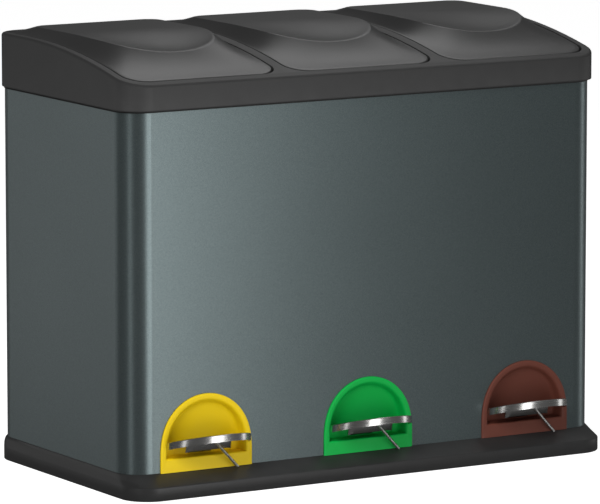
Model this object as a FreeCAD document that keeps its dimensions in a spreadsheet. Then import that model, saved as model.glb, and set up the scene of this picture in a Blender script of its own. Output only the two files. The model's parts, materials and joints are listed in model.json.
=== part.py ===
"""Three-compartment pedal bin for sorting waste: a folded steel body on a moulded base, a moulded top frame
with three hinged lids, and one pedal, lever and lift rod for each lid.

Millimetres. X runs to the right along the width, Y to the back, Z up. The floor is Z = 0. Each sub-part is
drawn about the centre of the steel body, and its Placement carries it to its compartment and to the origin,
which is the middle of the whole object's footprint.
"""
import FreeCAD, Part
import math
import os
import re

import Sketcher

doc = FreeCAD.newDocument("pedal_bin")
sheet = doc.addObject("Spreadsheet::Sheet", "dims")

# Driving dimensions: alias, value, meaning.
SIZES = [
    ("shell_width", 580, "steel body, outside, left to right"),
    ("shell_depth", 290, "steel body, outside, front to back"),
    ("shell_top", 418, "top edge of the steel body above the floor"),
    ("shell_sheet", 1, "thickness of the steel sheet"),
    ("corner_radius", 28, "vertical corners of the steel body"),
    ("foot_radius", 12, "rubber feet"),
    ("foot_inset", 38, "centre of a corner foot in from the body's sides"),
    ("rim_lift", 1.5, "the base's lower rim above the floor"),
    ("rim_top", 15, "top of the base's upright outer edge"),
    ("base_top", 25, "the base's lip where it meets the steel body"),
    ("base_front_lip", 21.5, "the base stands out in front of the body"),
    ("base_back_lip", 2.5, "the base stands out behind the body"),
    ("base_side_lip", 3.2, "the base stands out at each side"),
    ("base_rim_wall", 4, "wall of the base's outer rim"),
    ("lip_land", 1.2, "flat edge of the lip around the body"),
    ("floor_low", 6, "underside of the base's floor"),
    ("floor_sheet", 3, "thickness of the base's floor"),
    ("seat_gap", 0.3, "clearance of the body in the base"),
    ("rail_top", 50, "top of the rails that a bucket stands on"),
    ("rail_half_gap", 42, "from a compartment's centre to a rail"),
    ("rail_wall", 4, "thickness of a rail"),
    ("rail_end_gap", 45, "from the body's front or back to a rail's end"),
    ("frame_overlap", 12.5, "the top frame reaches down over the body"),
    ("frame_back_height", 56.5, "height of the top frame at the back"),
    ("frame_front_height", 26, "height of the top frame at the front"),
    ("frame_front_lip", 5.5, "the top frame stands out in front of the body"),
    ("frame_back_lip", 3, "the top frame stands out behind the body"),
    ("frame_side_lip", 3, "the top frame stands out at each side"),
    ("frame_wall", 2.5, "wall of the top frame"),
    ("frame_edge", 3, "rounding of the top frame's upper edge"),
    ("crown_inset", 65, "level stretch of the frame's crown, from the body's back"),
    ("rib_width", 11.8, "bridge between two lid openings"),
    ("side_border", 9.5, "frame beside the outer openings"),
    ("front_border", 10, "frame in front of the openings"),
    ("rear_border", 12, "frame behind the openings"),
    ("collar_wall", 2, "wall of the collar around an opening"),
    ("collar_gap", 0.5, "the collars above the body's top edge"),
    ("ledge_drop", 10, "buffer ledge below the frame's front deck"),
    ("ledge_depth", 6.5, "buffer ledge, front to back"),
    ("buffer_radius", 2.6, "rubber buffers"),
    ("buffer_spread", 70, "from a lid's centre to a buffer"),
    ("lid_gap", 1.5, "clearance around a lid"),
    ("lid_wall", 2.5, "wall of a lid"),
    ("lid_skirt", 8, "depth of a lid's rim"),
    ("lid_corner", 24, "front corners of a lid"),
    ("plateau_rise", 8, "a lid's level top above the frame's back"),
    ("plateau_inset", 14, "sloping side of a lid, seen from above"),
    ("plateau_back", 40, "from the body's back to the level top"),
    ("nose_inset", 65, "from the body's front to the crest of a lid"),
    ("nose_drop", 13.5, "the crest's front below the level top"),
    ("nose_start", 10, "the crest falls away from this far in front of the centre"),
    ("hinge_inset", 17.6, "hinge axis in from the frame's back"),
    ("hinge_barrel", 5, "outer radius of a lid's hinge barrel"),
    ("hinge_pin_radius", 2, "hinge pins"),
    ("hinge_pin_grip", 3, "a hinge pin's end beyond the opening"),
    ("hinge_side_gap", 1, "barrel to collar at each end"),
    ("running_gap", 0.05, "radial clearance of a turning fit"),
    ("guide_gap", 0.1, "radial clearance of a rod in its guide"),
    ("horn_reach", 19.2, "hinge axis to the centre of the horn's nose"),
    ("horn_droop", 38.5, "the horn hangs below level by this angle"),
    ("horn_nose", 4, "radius of the horn's nose"),
    ("horn_width", 8, "width of the horn"),
    ("horn_gap", 1, "horn above the lift rod"),
    ("rod_radius", 2.5, "lift rods"),
    ("rod_gap", 0.4, "lift rod above its lever"),
    ("shelf_rise", 6, "guide shelf above the body's top edge"),
    ("shelf_sheet", 3, "thickness of the guide shelf"),
    ("shelf_reach", 7, "guide shelf in front of a rod"),
    ("clip_height", 100, "lower rod guide above the floor"),
    ("clip_thick", 10, "height of the lower rod guide"),
    ("clip_half_width", 6, "half width of the lower rod guide"),
    ("clip_nose", 5, "lower rod guide in front of a rod"),
    ("pedal_spread", 5, "the outer pedals stand further out than their lids"),
    ("pivot_inset", 70, "pedal pivot behind the body's front"),
    ("pivot_height", 33, "pedal pivot above the floor"),
    ("pivot_pin_radius", 3, "pivot pins"),
    ("hub_radius", 6, "outer radius of a lever's hub"),
    ("lever_width", 24, "width of a lever"),
    ("lever_sheet", 2.5, "thickness of a lever"),
    ("lever_nose", 25, "the lever reaches this far under the tread"),
    ("lever_knee", 17, "the lever's knee behind the body's front"),
    ("lever_rear", 13.5, "underside of the lever's rear end"),
    ("lever_pad", 8, "the rear end beyond the lift rod, each way"),
    ("ear_gap", 1, "bracket ear beside the lever"),
    ("ear_sheet", 2, "sheet of the pivot bracket"),
    ("ear_half_length", 8, "half length of a bracket ear"),
    ("bracket_half_width", 26, "half width of the bracket's foot"),
    ("bracket_half_length", 11, "half length of the bracket's foot"),
    ("screw_spread", 20.5, "from the pedal's centre to a bracket screw"),
    ("screw_radius", 2, "shank of a bracket screw"),
    ("screw_head_radius", 3.8, "head of a bracket screw"),
    ("screw_head", 2.4, "height of a screw's head"),
    ("tread_half_width", 48.5, "half width of a tread"),
    ("tread_reach", 36.7, "tread in front of its housing"),
    ("tread_corner", 21, "side corners of a tread, seen from above"),
    ("tread_sheet", 1.3, "steel sheet of a tread"),
    ("tread_height", 57, "top of a tread where it meets the housing"),
    ("tread_tilt", 16, "upward tilt of a tread at rest"),
    ("tread_tail", 12, "tread behind the housing's face"),
    ("tail_half_width", 43, "half width of a tread inside its housing"),
    ("flange_front", 9, "turned-down edge at the front of a tread"),
    ("flange_back", 6, "turned-down edge at the sides' ends"),
    ("flange_clear", 1.7, "turned-down edge ends in front of the housing"),
    ("rivet_radius", 3, "rivets that hold the tread on its lever"),
    ("rivet_head", 1.2, "height of a rivet's head"),
    ("rivet_out", 10, "rivets in front of the housing"),
    ("rivet_spread", 7.5, "from the lever's middle to a rivet"),
    ("housing_width", 109.5, "coloured pedal housing"),
    ("housing_height", 80, "height of the housing above the base's lip"),
    ("housing_straight", 10, "upright stretch of the housing's sides"),
    ("housing_side_radius", 85, "side arcs of the housing's outline"),
    ("housing_proud", 2.3, "housing in front of the steel body"),
    ("housing_overlap", 4, "housing's flange over the cut-out's edge"),
    ("housing_gap", 0.3, "clearance of the housing in the body"),
    ("housing_rim", 8, "flange around the recess"),
    ("housing_wall", 2, "wall behind the recess"),
    ("recess_height", 14.5, "foot of the recess above the base's lip"),
    ("recess_top_depth", 4, "depth of the recess at its top"),
    ("recess_depth", 16, "depth of the recess at its foot"),
    ("slot_height", 16, "height of the lever's slot"),
    ("slot_gap", 2, "lever to slot at each side"),
    ("spring_radius", 1.6, "pedal spring, outside its coils"),
    ("spring_side", 35.5, "spring's foot beside the pedal's centre"),
    ("spring_foot_out", 6, "spring's foot in front of the body"),
    ("spring_head_out", 20, "spring's head in front of the body"),
    ("spring_gap", 0.3, "clearance at each end of the spring"),
    ("bucket_top", 400, "rim of a bucket above the floor"),
    ("bucket_side_gap", 10, "bucket to opening at each side"),
    ("bucket_front_gap", 17, "bucket's rim behind the body's front"),
    ("bucket_rod_gap", 4, "bucket's rim in front of the lift rod"),
    ("bucket_wall", 2, "wall of a bucket"),
    ("bucket_rim", 3, "width of a bucket's rim"),
    ("bucket_rim_thick", 3, "thickness of a bucket's rim"),
    ("bucket_taper", 9, "bucket's walls draw in towards the floor"),
    ("bucket_corner", 26, "vertical corners of a bucket"),
    ("bail_radius", 2, "wire of a bucket's handle"),
    ("bail_drop", 12, "handle's pivots below the rim"),
    ("bail_reach", 86, "length of the handle's arms"),
    ("bail_gap", 0.8, "handle's arms beside the rim"),
    ("bail_rise", 17, "cross bar above the pivots when folded"),
    ("bail_tuck", 9, "handle's ends inside the arms"),
    ("bail_bend", 10, "bends at the cross bar"),
    ("bail_hook", 4, "bends at the pivots"),
    ("bail_forward", 8, "handle's pivots in front of the centre"),
    ("grip_radius", 5.5, "sleeve on the handle"),
    ("grip_length", 70, "length of the sleeve"),
]

# Places worked out from the driving dimensions: alias, formula.
PLACES = [
    ("half_width", "shell_width / 2"),
    ("half_depth", "shell_depth / 2"),
    ("face_out", "half_depth + housing_proud"),
    ("centre_y", "(face_out + tread_reach - half_depth - max(frame_back_lip; base_back_lip)) / 2"),
    ("floor_top", "floor_low + floor_sheet"),
    ("frame_low", "shell_top - frame_overlap"),
    ("frame_top", "frame_low + frame_back_height"),
    ("frame_front", "half_depth + frame_front_lip"),
    ("frame_back", "half_depth + frame_back_lip"),
    ("crown_y", "half_depth - crown_inset"),
    ("crown_run", "crown_y + frame_front"),
    ("crown_fall", "frame_back_height - frame_front_height"),
    ("crown_radius", "(crown_run * crown_run + crown_fall * crown_fall) / (2 * crown_fall)"),
    ("lid_pitch", "(shell_width + 2 * frame_side_lip - 2 * side_border + rib_width) / 3"),
    ("opening_half", "(lid_pitch - rib_width) / 2"),
    ("opening_front", "frame_front - front_border"),
    ("opening_back", "frame_back - rear_border"),
    ("lid_half", "opening_half - lid_gap"),
    ("lid_front", "opening_front - lid_gap"),
    ("lid_front_run", "crown_y + lid_front"),
    ("lid_front_top", "frame_top - crown_radius + sqrt(crown_radius ^ 2 - lid_front_run ^ 2)"),
    ("plateau_top", "frame_top + plateau_rise"),
    ("nose_y", "half_depth - nose_inset"),
    ("crest_slope", "(lid_front - nose_y) / (plateau_top - nose_drop - lid_front_top)"),
    ("crest_tip", "nose_y - nose_drop * crest_slope"),
    ("hinge_y", "frame_back - hinge_inset"),
    ("hinge_z", "frame_top - hinge_barrel"),
    ("horn_y", "hinge_y - horn_reach * cos(horn_droop)"),
    ("horn_z", "hinge_z - horn_reach * sin(horn_droop)"),
    ("rod_y", "hinge_y - horn_reach * (1 + cos(horn_droop)) / 2"),
    ("rod_low", "lever_rear + lever_sheet + rod_gap"),
    ("rod_top", "horn_z - horn_nose - horn_gap"),
    ("shelf_z", "shell_top + shelf_rise"),
    ("pedal_pitch", "lid_pitch + pedal_spread"),
    ("pivot_y", "half_depth - pivot_inset"),
    ("tilt_rise", "tan(tread_tilt)"),
    ("tread_front", "face_out + tread_reach"),
    ("tread_rear", "face_out - tread_tail"),
    ("bucket_half", "opening_half - bucket_side_gap"),
    ("bucket_front", "half_depth - bucket_front_gap"),
    ("bucket_back", "rod_y - rod_radius - bucket_rod_gap"),
    ("bail_half", "bucket_half + bucket_rim + bail_gap + bail_radius"),
    ("bail_tilt", "asin(bail_rise / bail_reach)"),
    ("bail_z", "bucket_top - bail_drop"),
]

for row, (alias, value, meaning) in enumerate(SIZES, start=1):
    sheet.set(f"A{row}", meaning)
    sheet.set(f"B{row}", str(value))
    sheet.setAlias(f"B{row}", alias)
for row, (alias, formula) in enumerate(PLACES, start=len(SIZES) + 1):
    sheet.set(f"B{row}", "=" + formula)
    sheet.setAlias(f"B{row}", alias)
doc.recompute()

ALIASES = {entry[0] for entry in SIZES + PLACES}
SIDES = {"left": -1, "middle": 0, "right": 1}
FAR = "1000"
subparts = []


def bound(expression):
    """The same expression as other objects read it, with the sheet's name before each alias."""
    return re.sub(r"[a-z_]+[a-z]", lambda word: "dims." + word[0] if word[0] in ALIASES else word[0], expression)


def number(expression):
    """The expression's present value."""
    return float(sheet.evalExpression(expression))


# ---- sketches -------------------------------------------------------------------------------------------

def new_body(name):
    return doc.addObject("PartDesign::Body", name)


def new_sketch(body, plane, offset="0"):
    """A sketch on one of the body's own planes: "XY" looks up, "XZ" to the front and "YZ" to the right."""
    sketch = body.newObject("Sketcher::SketchObject", "sketch")
    support = [o for o in body.Origin.OriginFeatures if o.Role == plane + "_Plane"][0]
    sketch.AttachmentSupport = [(support, "")]
    sketch.MapMode = "FlatFace"
    sketch.setExpression("AttachmentOffset.Base.z", bound(offset))
    return sketch


def fix(sketch, kind, value, *elements):
    """Adds one dimension and binds it to the sheet."""
    index = sketch.addConstraint(Sketcher.Constraint(kind, *elements, number(value)))
    sketch.setExpression(f"Constraints[{index}]", bound(value))


def fix_point(sketch, edge, end, x, y):
    fix(sketch, "DistanceX", x, -1, 1, edge, end)
    fix(sketch, "DistanceY", y, -1, 1, edge, end)


def draw_polygon(sketch, points):
    """A closed outline of straight edges through points given as pairs of expressions."""
    first = sketch.GeometryCount
    places = [FreeCAD.Vector(number(x), number(y), 0) for x, y in points]
    for start, end in zip(places, places[1:] + places[:1]):
        sketch.addGeometry(Part.LineSegment(start, end), False)
    for step, (x, y) in enumerate(points):
        following = first + (step + 1) % len(points)
        sketch.addConstraint(Sketcher.Constraint("Coincident", first + step, 2, following, 1))
        fix_point(sketch, first + step, 1, x, y)


def draw_box(sketch, x_low, x_high, y_low, y_high):
    draw_polygon(sketch, [(x_low, y_low), (x_high, y_low), (x_high, y_high), (x_low, y_high)])


def draw_circle(sketch, x, y, radius):
    edge = sketch.addGeometry(
        Part.Circle(FreeCAD.Vector(number(x), number(y), 0), FreeCAD.Vector(0, 0, 1), number(radius)), False)
    fix_point(sketch, edge, 3, x, y)
    fix(sketch, "Radius", radius, edge)


def draw_rounded(sketch, x_low, x_high, y_low, y_high, radius):
    """A rectangle with four rounded corners."""
    first = sketch.GeometryCount
    left, right, front, back = number(x_low), number(x_high), number(y_low), number(y_high)
    r = number(radius)
    corners = [(right - r, front + r, -90), (right - r, back - r, 0), (left + r, back - r, 90), (left + r, front + r, 180)]
    starts = [(left + r, front), (right, front + r), (right - r, back), (left, back - r)]
    ends = [(right - r, front), (right, back - r), (left + r, back), (left, front + r)]
    for start, end, (x, y, turn) in zip(starts, ends, corners):
        sketch.addGeometry(Part.LineSegment(FreeCAD.Vector(*start, 0), FreeCAD.Vector(*end, 0)), False)
        circle = Part.Circle(FreeCAD.Vector(x, y, 0), FreeCAD.Vector(0, 0, 1), r)
        sketch.addGeometry(Part.ArcOfCircle(circle, math.radians(turn), math.radians(turn + 90)), False)
    for edge in range(0, 8, 2):
        sketch.addConstraint(Sketcher.Constraint("Tangent", first + edge, 2, first + edge + 1, 1))
        sketch.addConstraint(Sketcher.Constraint("Tangent", first + edge + 1, 2, first + (edge + 2) % 8, 1))
        fix(sketch, "Radius", radius, first + edge + 1)
    sketch.addConstraint(Sketcher.Constraint("Horizontal", first))
    fix(sketch, "DistanceY", y_low, -1, 1, first, 1)
    fix(sketch, "DistanceX", x_high, -1, 1, first + 2, 1)
    fix(sketch, "DistanceY", y_high, -1, 1, first + 4, 1)
    fix(sketch, "DistanceX", x_low, -1, 1, first + 6, 1)


def draw_tongue(sketch, half, flat, tip, corner):
    """A rectangle from the line y = flat to y = tip with its two corners at the tip rounded."""
    first = sketch.GeometryCount
    side, start, end, r = number(half), number(flat), number(tip), number(corner)
    sense = 1 if end > start else -1
    shoulder = end - sense * r
    corners = [((-side, start), (side, start)), ((side, start), (side, shoulder)), None,
               ((side - r, end), (r - side, end)), None, ((-side, shoulder), (-side, start))]
    for edge, line in enumerate(corners):
        if line:
            sketch.addGeometry(Part.LineSegment(*[FreeCAD.Vector(*p, 0) for p in line]), False)
        else:
            add_arc(sketch, (side - r) * (1 if edge == 2 else -1), shoulder, r,
                    (0, 90) if edge == 2 else (90, 180), sense)
    near, far = (1, 2) if sense > 0 else (2, 1)
    join(sketch, first, [(0, 2, 1, 1, "Coincident"), (1, 2, 2, near, "Tangent"), (2, far, 3, 1, "Tangent"),
                         (3, 2, 4, near, "Tangent"), (4, far, 5, 1, "Tangent"), (5, 2, 0, 1, "Coincident")])
    for edge in (1, 5):
        sketch.addConstraint(Sketcher.Constraint("Vertical", first + edge))
    fix_point(sketch, first, 1, f"-({half})", flat)
    fix_point(sketch, first, 2, half, flat)
    fix(sketch, "DistanceY", tip, -1, 1, first + 3, 1)
    fix(sketch, "Radius", corner, first + 2)
    fix(sketch, "Radius", corner, first + 4)


def draw_arch(sketch, half, flat, spring, tip, side_radius):
    """A flat foot, straight sides up to the spring line, and a crown of three arcs that meet smoothly."""
    first = sketch.GeometryCount
    side, start, turn, end, r = number(half), number(flat), number(spring), number(tip), number(side_radius)
    sense = 1 if end > start else -1
    rise, shift = abs(end - turn), r - side
    crown = (r * r - rise * rise - shift * shift) / (2 * (r - rise))
    centre = turn + sense * (rise - crown)
    meet = math.degrees(math.atan2(abs(rise - crown), abs(shift)))
    lines = [((-side, start), (side, start)), ((side, start), (side, turn)), ((-side, turn), (-side, start))]
    arcs = [(-shift, turn, r, (0, meet)), (0, centre, crown, (meet, 180 - meet)), (shift, turn, r, (180 - meet, 180))]
    for line in lines[:2]:
        sketch.addGeometry(Part.LineSegment(*[FreeCAD.Vector(*p, 0) for p in line]), False)
    for arc in arcs:
        add_arc(sketch, *arc, sense)
    sketch.addGeometry(Part.LineSegment(*[FreeCAD.Vector(*p, 0) for p in lines[2]]), False)
    near, far = (1, 2) if sense > 0 else (2, 1)
    join(sketch, first, [(0, 2, 1, 1, "Coincident"), (1, 2, 2, near, "Tangent"), (2, far, 3, near, "Tangent"),
                         (3, far, 4, near, "Tangent"), (4, far, 5, 1, "Tangent"), (5, 2, 0, 1, "Coincident")])
    sketch.addConstraint(Sketcher.Constraint("Horizontal", first))
    fix_point(sketch, first, 1, f"-({half})", flat)
    fix(sketch, "DistanceX", half, -1, 1, first + 1, 1)
    fix(sketch, "DistanceY", spring, -1, 1, first + 1, 2)
    fix(sketch, "DistanceY", spring, -1, 1, first + 5, 1)
    fix(sketch, "Radius", side_radius, first + 2)
    fix(sketch, "Radius", side_radius, first + 4)
    sketch.addConstraint(Sketcher.Constraint("PointOnObject", first + 3, 3, -2))
    rise_text = f"abs({tip} - ({spring}))"
    shift_text = f"({side_radius} - ({half}))"
    crown_text = (f"(({side_radius}) ^ 2 - {rise_text} ^ 2 - {shift_text} ^ 2)"
                  f" / (2 * ({side_radius} - {rise_text}))")
    fix(sketch, "Radius", crown_text, first + 3)


def add_arc(sketch, x, y, radius, turns, sense):
    """An arc between two angles, mirrored in the X axis when the outline points down."""
    low, high = turns if sense > 0 else (-turns[1], -turns[0])
    circle = Part.Circle(FreeCAD.Vector(x, y, 0), FreeCAD.Vector(0, 0, 1), radius)
    sketch.addGeometry(Part.ArcOfCircle(circle, math.radians(low), math.radians(high)), False)


def join(sketch, first, joints):
    for edge, end, other, start, kind in joints:
        sketch.addConstraint(Sketcher.Constraint(kind, first + edge, end, first + other, start))


# ---- features -------------------------------------------------------------------------------------------

def extrude(body, kind, sketch, length, symmetric=False, backwards=False):
    feature = body.newObject("PartDesign::" + kind, kind.lower())
    feature.Profile = sketch
    feature.Length = number(length)
    feature.setExpression("Length", bound(length))
    if symmetric:
        feature.SideType = "Symmetric"
    feature.Reversed = backwards
    return feature


def pad(body, sketch, length, symmetric=False, backwards=False):
    return extrude(body, "Pad", sketch, length, symmetric, backwards)


def pocket(body, sketch, length, symmetric=False, backwards=False):
    """Cuts along the sketch's normal when backwards is set, and against it otherwise."""
    return extrude(body, "Pocket", sketch, length, symmetric, backwards)


def loft(body, kind, low, high):
    feature = body.newObject("PartDesign::" + kind, kind.lower())
    feature.Profile = low
    feature.Sections = [high]
    feature.Ruled = True
    return feature


def round_edges(body, name, radius, chosen):
    """Fillets the edges of the body's present shape that the test picks."""
    doc.recompute()
    base = body.Tip
    names = [f"Edge{n}" for n, edge in enumerate(base.Shape.Edges, start=1) if chosen(edge)]
    feature = body.newObject("PartDesign::Fillet", name)
    feature.Base = (base, names)
    feature.Radius = number(radius)
    feature.setExpression("Radius", bound(radius))
    return feature


def block(name, x_low, x_high, y_low, y_high, z_low, z_high):
    box = doc.addObject("Part::Box", name)
    for key, low, high in (("x", x_low, x_high), ("y", y_low, y_high), ("z", z_low, z_high)):
        size = {"x": "Length", "y": "Width", "z": "Height"}[key]
        box.setExpression(size, bound(f"({high}) - ({low})"))
        box.setExpression("Placement.Base." + key, bound(low))
    return box


def rod(name, radius, length, x, y, z, along="z"):
    """A round bar from the given point along z, or along x."""
    bar = doc.addObject("Part::Cylinder", name)
    bar.setExpression("Radius", bound(radius))
    bar.setExpression("Height", bound(length))
    if along == "x":
        bar.Placement = FreeCAD.Placement(FreeCAD.Vector(), FreeCAD.Rotation(FreeCAD.Vector(0, 1, 0), 90))
    for key, value in (("x", x), ("y", y), ("z", z)):
        bar.setExpression("Placement.Base." + key, bound(value))
    return bar


def cut(name, base, tool):
    result = doc.addObject("Part::Cut", name)
    result.Base, result.Tool = base, tool
    return result


def fuse(name, *pieces):
    result = doc.addObject("Part::MultiFuse", name)
    result.Shapes = list(pieces)
    return result


def group(name, pieces):
    """Separate solids in one sub-part."""
    result = doc.addObject("Part::Compound", name)
    result.Links = pieces
    return result


def place(piece, label, x="0"):
    """Names a sub-part and carries it to its compartment."""
    piece.Label = label
    piece.setExpression("Placement.Base.x", bound(x))
    piece.setExpression("Placement.Base.y", bound("centre_y"))
    subparts.append(piece)


# ---- the steel body and the base ------------------------------------------------------------------------

def draw_shell_outline(sketch, grow):
    """The steel body's outline, grown or shrunk all round."""
    side, end = f"half_width + {grow}", f"half_depth + {grow}"
    draw_rounded(sketch, f"-({side})", side, f"-({end})", end, f"corner_radius + {grow}")


def draw_base_outline(sketch, shrink="0"):
    side = f"half_width + base_side_lip - {shrink}"
    draw_rounded(sketch, f"-({side})", side, f"-(half_depth + base_front_lip - {shrink})",
                 f"half_depth + base_back_lip - {shrink}", f"corner_radius + base_side_lip - {shrink}")


def draw_housing_outline(sketch, inset, foot):
    """The arched outline of a pedal housing, drawn in from its edge."""
    draw_arch(sketch, f"housing_width / 2 - {inset}", foot, "base_top + max(housing_straight; recess_height + 1)",
              f"base_top + housing_height - {inset}", f"housing_side_radius - {inset}")


def make_shell():
    body = new_body("shell")
    ring = new_sketch(body, "XY", "floor_top")
    draw_shell_outline(ring, "0")
    draw_shell_outline(ring, "-shell_sheet")
    pad(body, ring, "shell_top - floor_top")
    for side in SIDES.values():
        hole = new_sketch(body, "XZ", "half_depth + 1")
        draw_housing_outline(hole, "housing_overlap", "base_top + housing_overlap")
        hole.setExpression("AttachmentOffset.Base.x", bound(f"pedal_pitch * {side}"))
        pocket(body, hole, "shell_sheet + 3")
    place(body, "shell")


def make_base():
    body = new_body("base")
    edge = new_sketch(body, "XY", "rim_lift")
    draw_base_outline(edge)
    pad(body, edge, "rim_top - rim_lift")
    low, high = new_sketch(body, "XY", "rim_top"), new_sketch(body, "XY", "base_top")
    draw_base_outline(low)
    draw_shell_outline(high, "lip_land")
    loft(body, "AdditiveLoft", low, high)
    seat = new_sketch(body, "XY", "base_top")
    draw_shell_outline(seat, "seat_gap")
    pocket(body, seat, "base_top - floor_top")
    hollow = new_sketch(body, "XY", "rim_lift")
    draw_base_outline(hollow, "base_rim_wall")
    pocket(body, hollow, "floor_low - rim_lift", backwards=True)
    rails = new_sketch(body, "XY", "floor_top")
    for side in SIDES.values():
        for inner, outer in (("-rail_half_gap - rail_wall", "-rail_half_gap"), ("rail_half_gap", "rail_half_gap + rail_wall")):
            draw_box(rails, f"pedal_pitch * {side} + ({inner})", f"pedal_pitch * {side} + ({outer})",
                     "rail_end_gap - half_depth", "half_depth - rail_end_gap")
    pad(body, rails, "rail_top - floor_top")
    holes = new_sketch(body, "XY", "floor_top")
    for side in SIDES.values():
        for hand in (-1, 1):
            draw_circle(holes, f"pedal_pitch * {side} + screw_spread * {hand}", "-pivot_y", "screw_radius")
    pocket(body, holes, "floor_sheet")
    place(body, "base")


def make_feet():
    feet = [rod("foot", "foot_radius", "floor_low", f"(half_width - foot_inset) * {across}",
                f"(half_depth - foot_inset) * {along}", "0")
            for across in (-1, 0, 1) for along in (-1, 1)]
    place(group("feet", feet), "feet")


# ---- the top frame --------------------------------------------------------------------------------------

def draw_crown(sketch, drop, above=True):
    """The side view's region above, or below, the frame's crown lowered by the drop."""
    first = sketch.GeometryCount
    far, start, top = number(FAR), number("crown_y"), number(f"frame_top - {drop}")
    r = number(f"crown_radius - {drop}")
    reach = number("-(crown_run + 20)")
    fall = r - math.sqrt(r * r - reach * reach)
    limit = far if above else -far
    places = [(far, top), (far, limit), (start + reach, limit), (start + reach, top - fall)]
    for a, b in zip(places, places[1:]):
        sketch.addGeometry(Part.LineSegment(FreeCAD.Vector(*a, 0), FreeCAD.Vector(*b, 0)), False)
    circle = Part.Circle(FreeCAD.Vector(start, top - r, 0), FreeCAD.Vector(0, 0, 1), r)
    sketch.addGeometry(Part.ArcOfCircle(circle, math.pi / 2, math.pi / 2 + math.asin(-reach / r)), False)
    sketch.addGeometry(Part.LineSegment(FreeCAD.Vector(start, top, 0), FreeCAD.Vector(far, top, 0)), False)
    join(sketch, first, [(0, 2, 1, 1, "Coincident"), (1, 2, 2, 1, "Coincident"), (2, 2, 3, 2, "Coincident"),
                         (3, 1, 4, 1, "Coincident"), (4, 2, 0, 1, "Coincident")])
    sketch.addConstraint(Sketcher.Constraint("Vertical", first))
    sketch.addConstraint(Sketcher.Constraint("Horizontal", first + 1))
    sketch.addConstraint(Sketcher.Constraint("Vertical", first + 2))
    fix_point(sketch, first, 1, FAR, f"frame_top - {drop}")
    fix(sketch, "DistanceY", FAR if above else "-" + FAR, -1, 1, first, 2)
    fix(sketch, "DistanceX", "crown_y - crown_run - 20", -1, 1, first + 2, 1)
    fix_point(sketch, first + 4, 1, "crown_y", f"frame_top - {drop}")
    fix(sketch, "DistanceX", "crown_y", -1, 1, first + 3, 3)
    fix(sketch, "Radius", f"crown_radius - {drop}", first + 3)


def trim_crown(body, drop, above=True):
    profile = new_sketch(body, "YZ")
    draw_crown(profile, drop, above)
    pocket(body, profile, FAR, symmetric=True)


def draw_frame_outline(sketch, shrink="0"):
    side = f"half_width + frame_side_lip - {shrink}"
    draw_rounded(sketch, f"-({side})", side, f"-(frame_front - {shrink})", f"frame_back - {shrink}",
                 f"corner_radius + frame_side_lip - {shrink}")


def make_frame():
    form = new_body("frame_form")
    outline = new_sketch(form, "XY", "frame_low")
    draw_frame_outline(outline)
    pad(form, outline, "frame_back_height + 5")
    trim_crown(form, "0")
    top = number("frame_low + frame_front_height / 2")
    round_edges(form, "soft_edge", "frame_edge",
                lambda edge: edge.BoundBox.ZMin > top and (edge.Length > 1 and not is_upright(edge)))

    hollow = new_body("frame_hollow")
    inside = new_sketch(hollow, "XY", "frame_low - 5")
    draw_frame_outline(inside, "frame_wall")
    pad(hollow, inside, "frame_back_height + 10")
    trim_crown(hollow, "frame_wall")
    for side in SIDES.values():
        collar = new_sketch(hollow, "XY", "frame_top + 10")
        half = "opening_half + collar_wall"
        draw_box(collar, f"lid_pitch * {side} - ({half})", f"lid_pitch * {side} + {half}",
                 "-(opening_front + collar_wall)", "opening_back + collar_wall")
        pocket(hollow, collar, "frame_top + 10 - shell_top - collar_gap")

    mouths = []
    for side in SIDES.values():
        mouth = new_body("frame_mouth")
        hole = new_sketch(mouth, "XY", "frame_low - 10")
        draw_tongue(hole, "opening_half", "opening_back", "-opening_front", "lid_corner")
        hole.setExpression("AttachmentOffset.Base.x", bound(f"lid_pitch * {side}"))
        pad(mouth, hole, "frame_back_height + 30")
        mouths.append(mouth)
    skin = cut("frame_skin", form, fuse("frame_void", hollow, *mouths))

    inner = []
    holes = []
    ledge_top = "frame_low + frame_front_height - ledge_drop"
    for side in SIDES.values():
        left, right = f"lid_pitch * {side} - opening_half", f"lid_pitch * {side} + opening_half"
        inner.append(block("ledge", f"{left} + lid_corner", f"{right} - lid_corner", "-opening_front - 1",
                           "ledge_depth - opening_front", f"{ledge_top} - frame_wall", ledge_top))
        inner.append(block("shelf", f"{left} - 1", f"{right} + 1", "rod_y - shelf_reach", "opening_back + 1",
                           "shelf_z - shelf_sheet", "shelf_z"))
        holes.append(rod("guide", "rod_radius + guide_gap", "40", f"pedal_pitch * {side}", "rod_y", "shelf_z - 20"))
        holes.append(rod("pin_seat", "hinge_pin_radius", "2 * (opening_half + hinge_pin_grip)",
                         f"{left} - hinge_pin_grip", "hinge_y", "hinge_z", along="x"))
    place(cut("top_frame", fuse("frame_full", skin, *inner), fuse("frame_holes", *holes)), "top_frame")


def is_upright(edge):
    box = edge.BoundBox
    return box.XLength < 0.01 and box.YLength < 0.01


def make_buffers():
    """Rubber buffers on the ledge in front of each lid."""
    low = "frame_low + frame_front_height - ledge_drop"
    gap = "0.4"
    buffers = [rod("buffer", "buffer_radius", f"lid_front_top - lid_skirt - {gap} - ({low})",
                   f"lid_pitch * {side} + (lid_half - lid_corner - 4) * {hand}", "buffer_radius + 0.7 - opening_front", low)
               for side in SIDES.values() for hand in (-1, 1)]
    place(group("lid_buffers", buffers), "lid_buffers")


# ---- a lid and its lift gear ----------------------------------------------------------------------------

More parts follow.
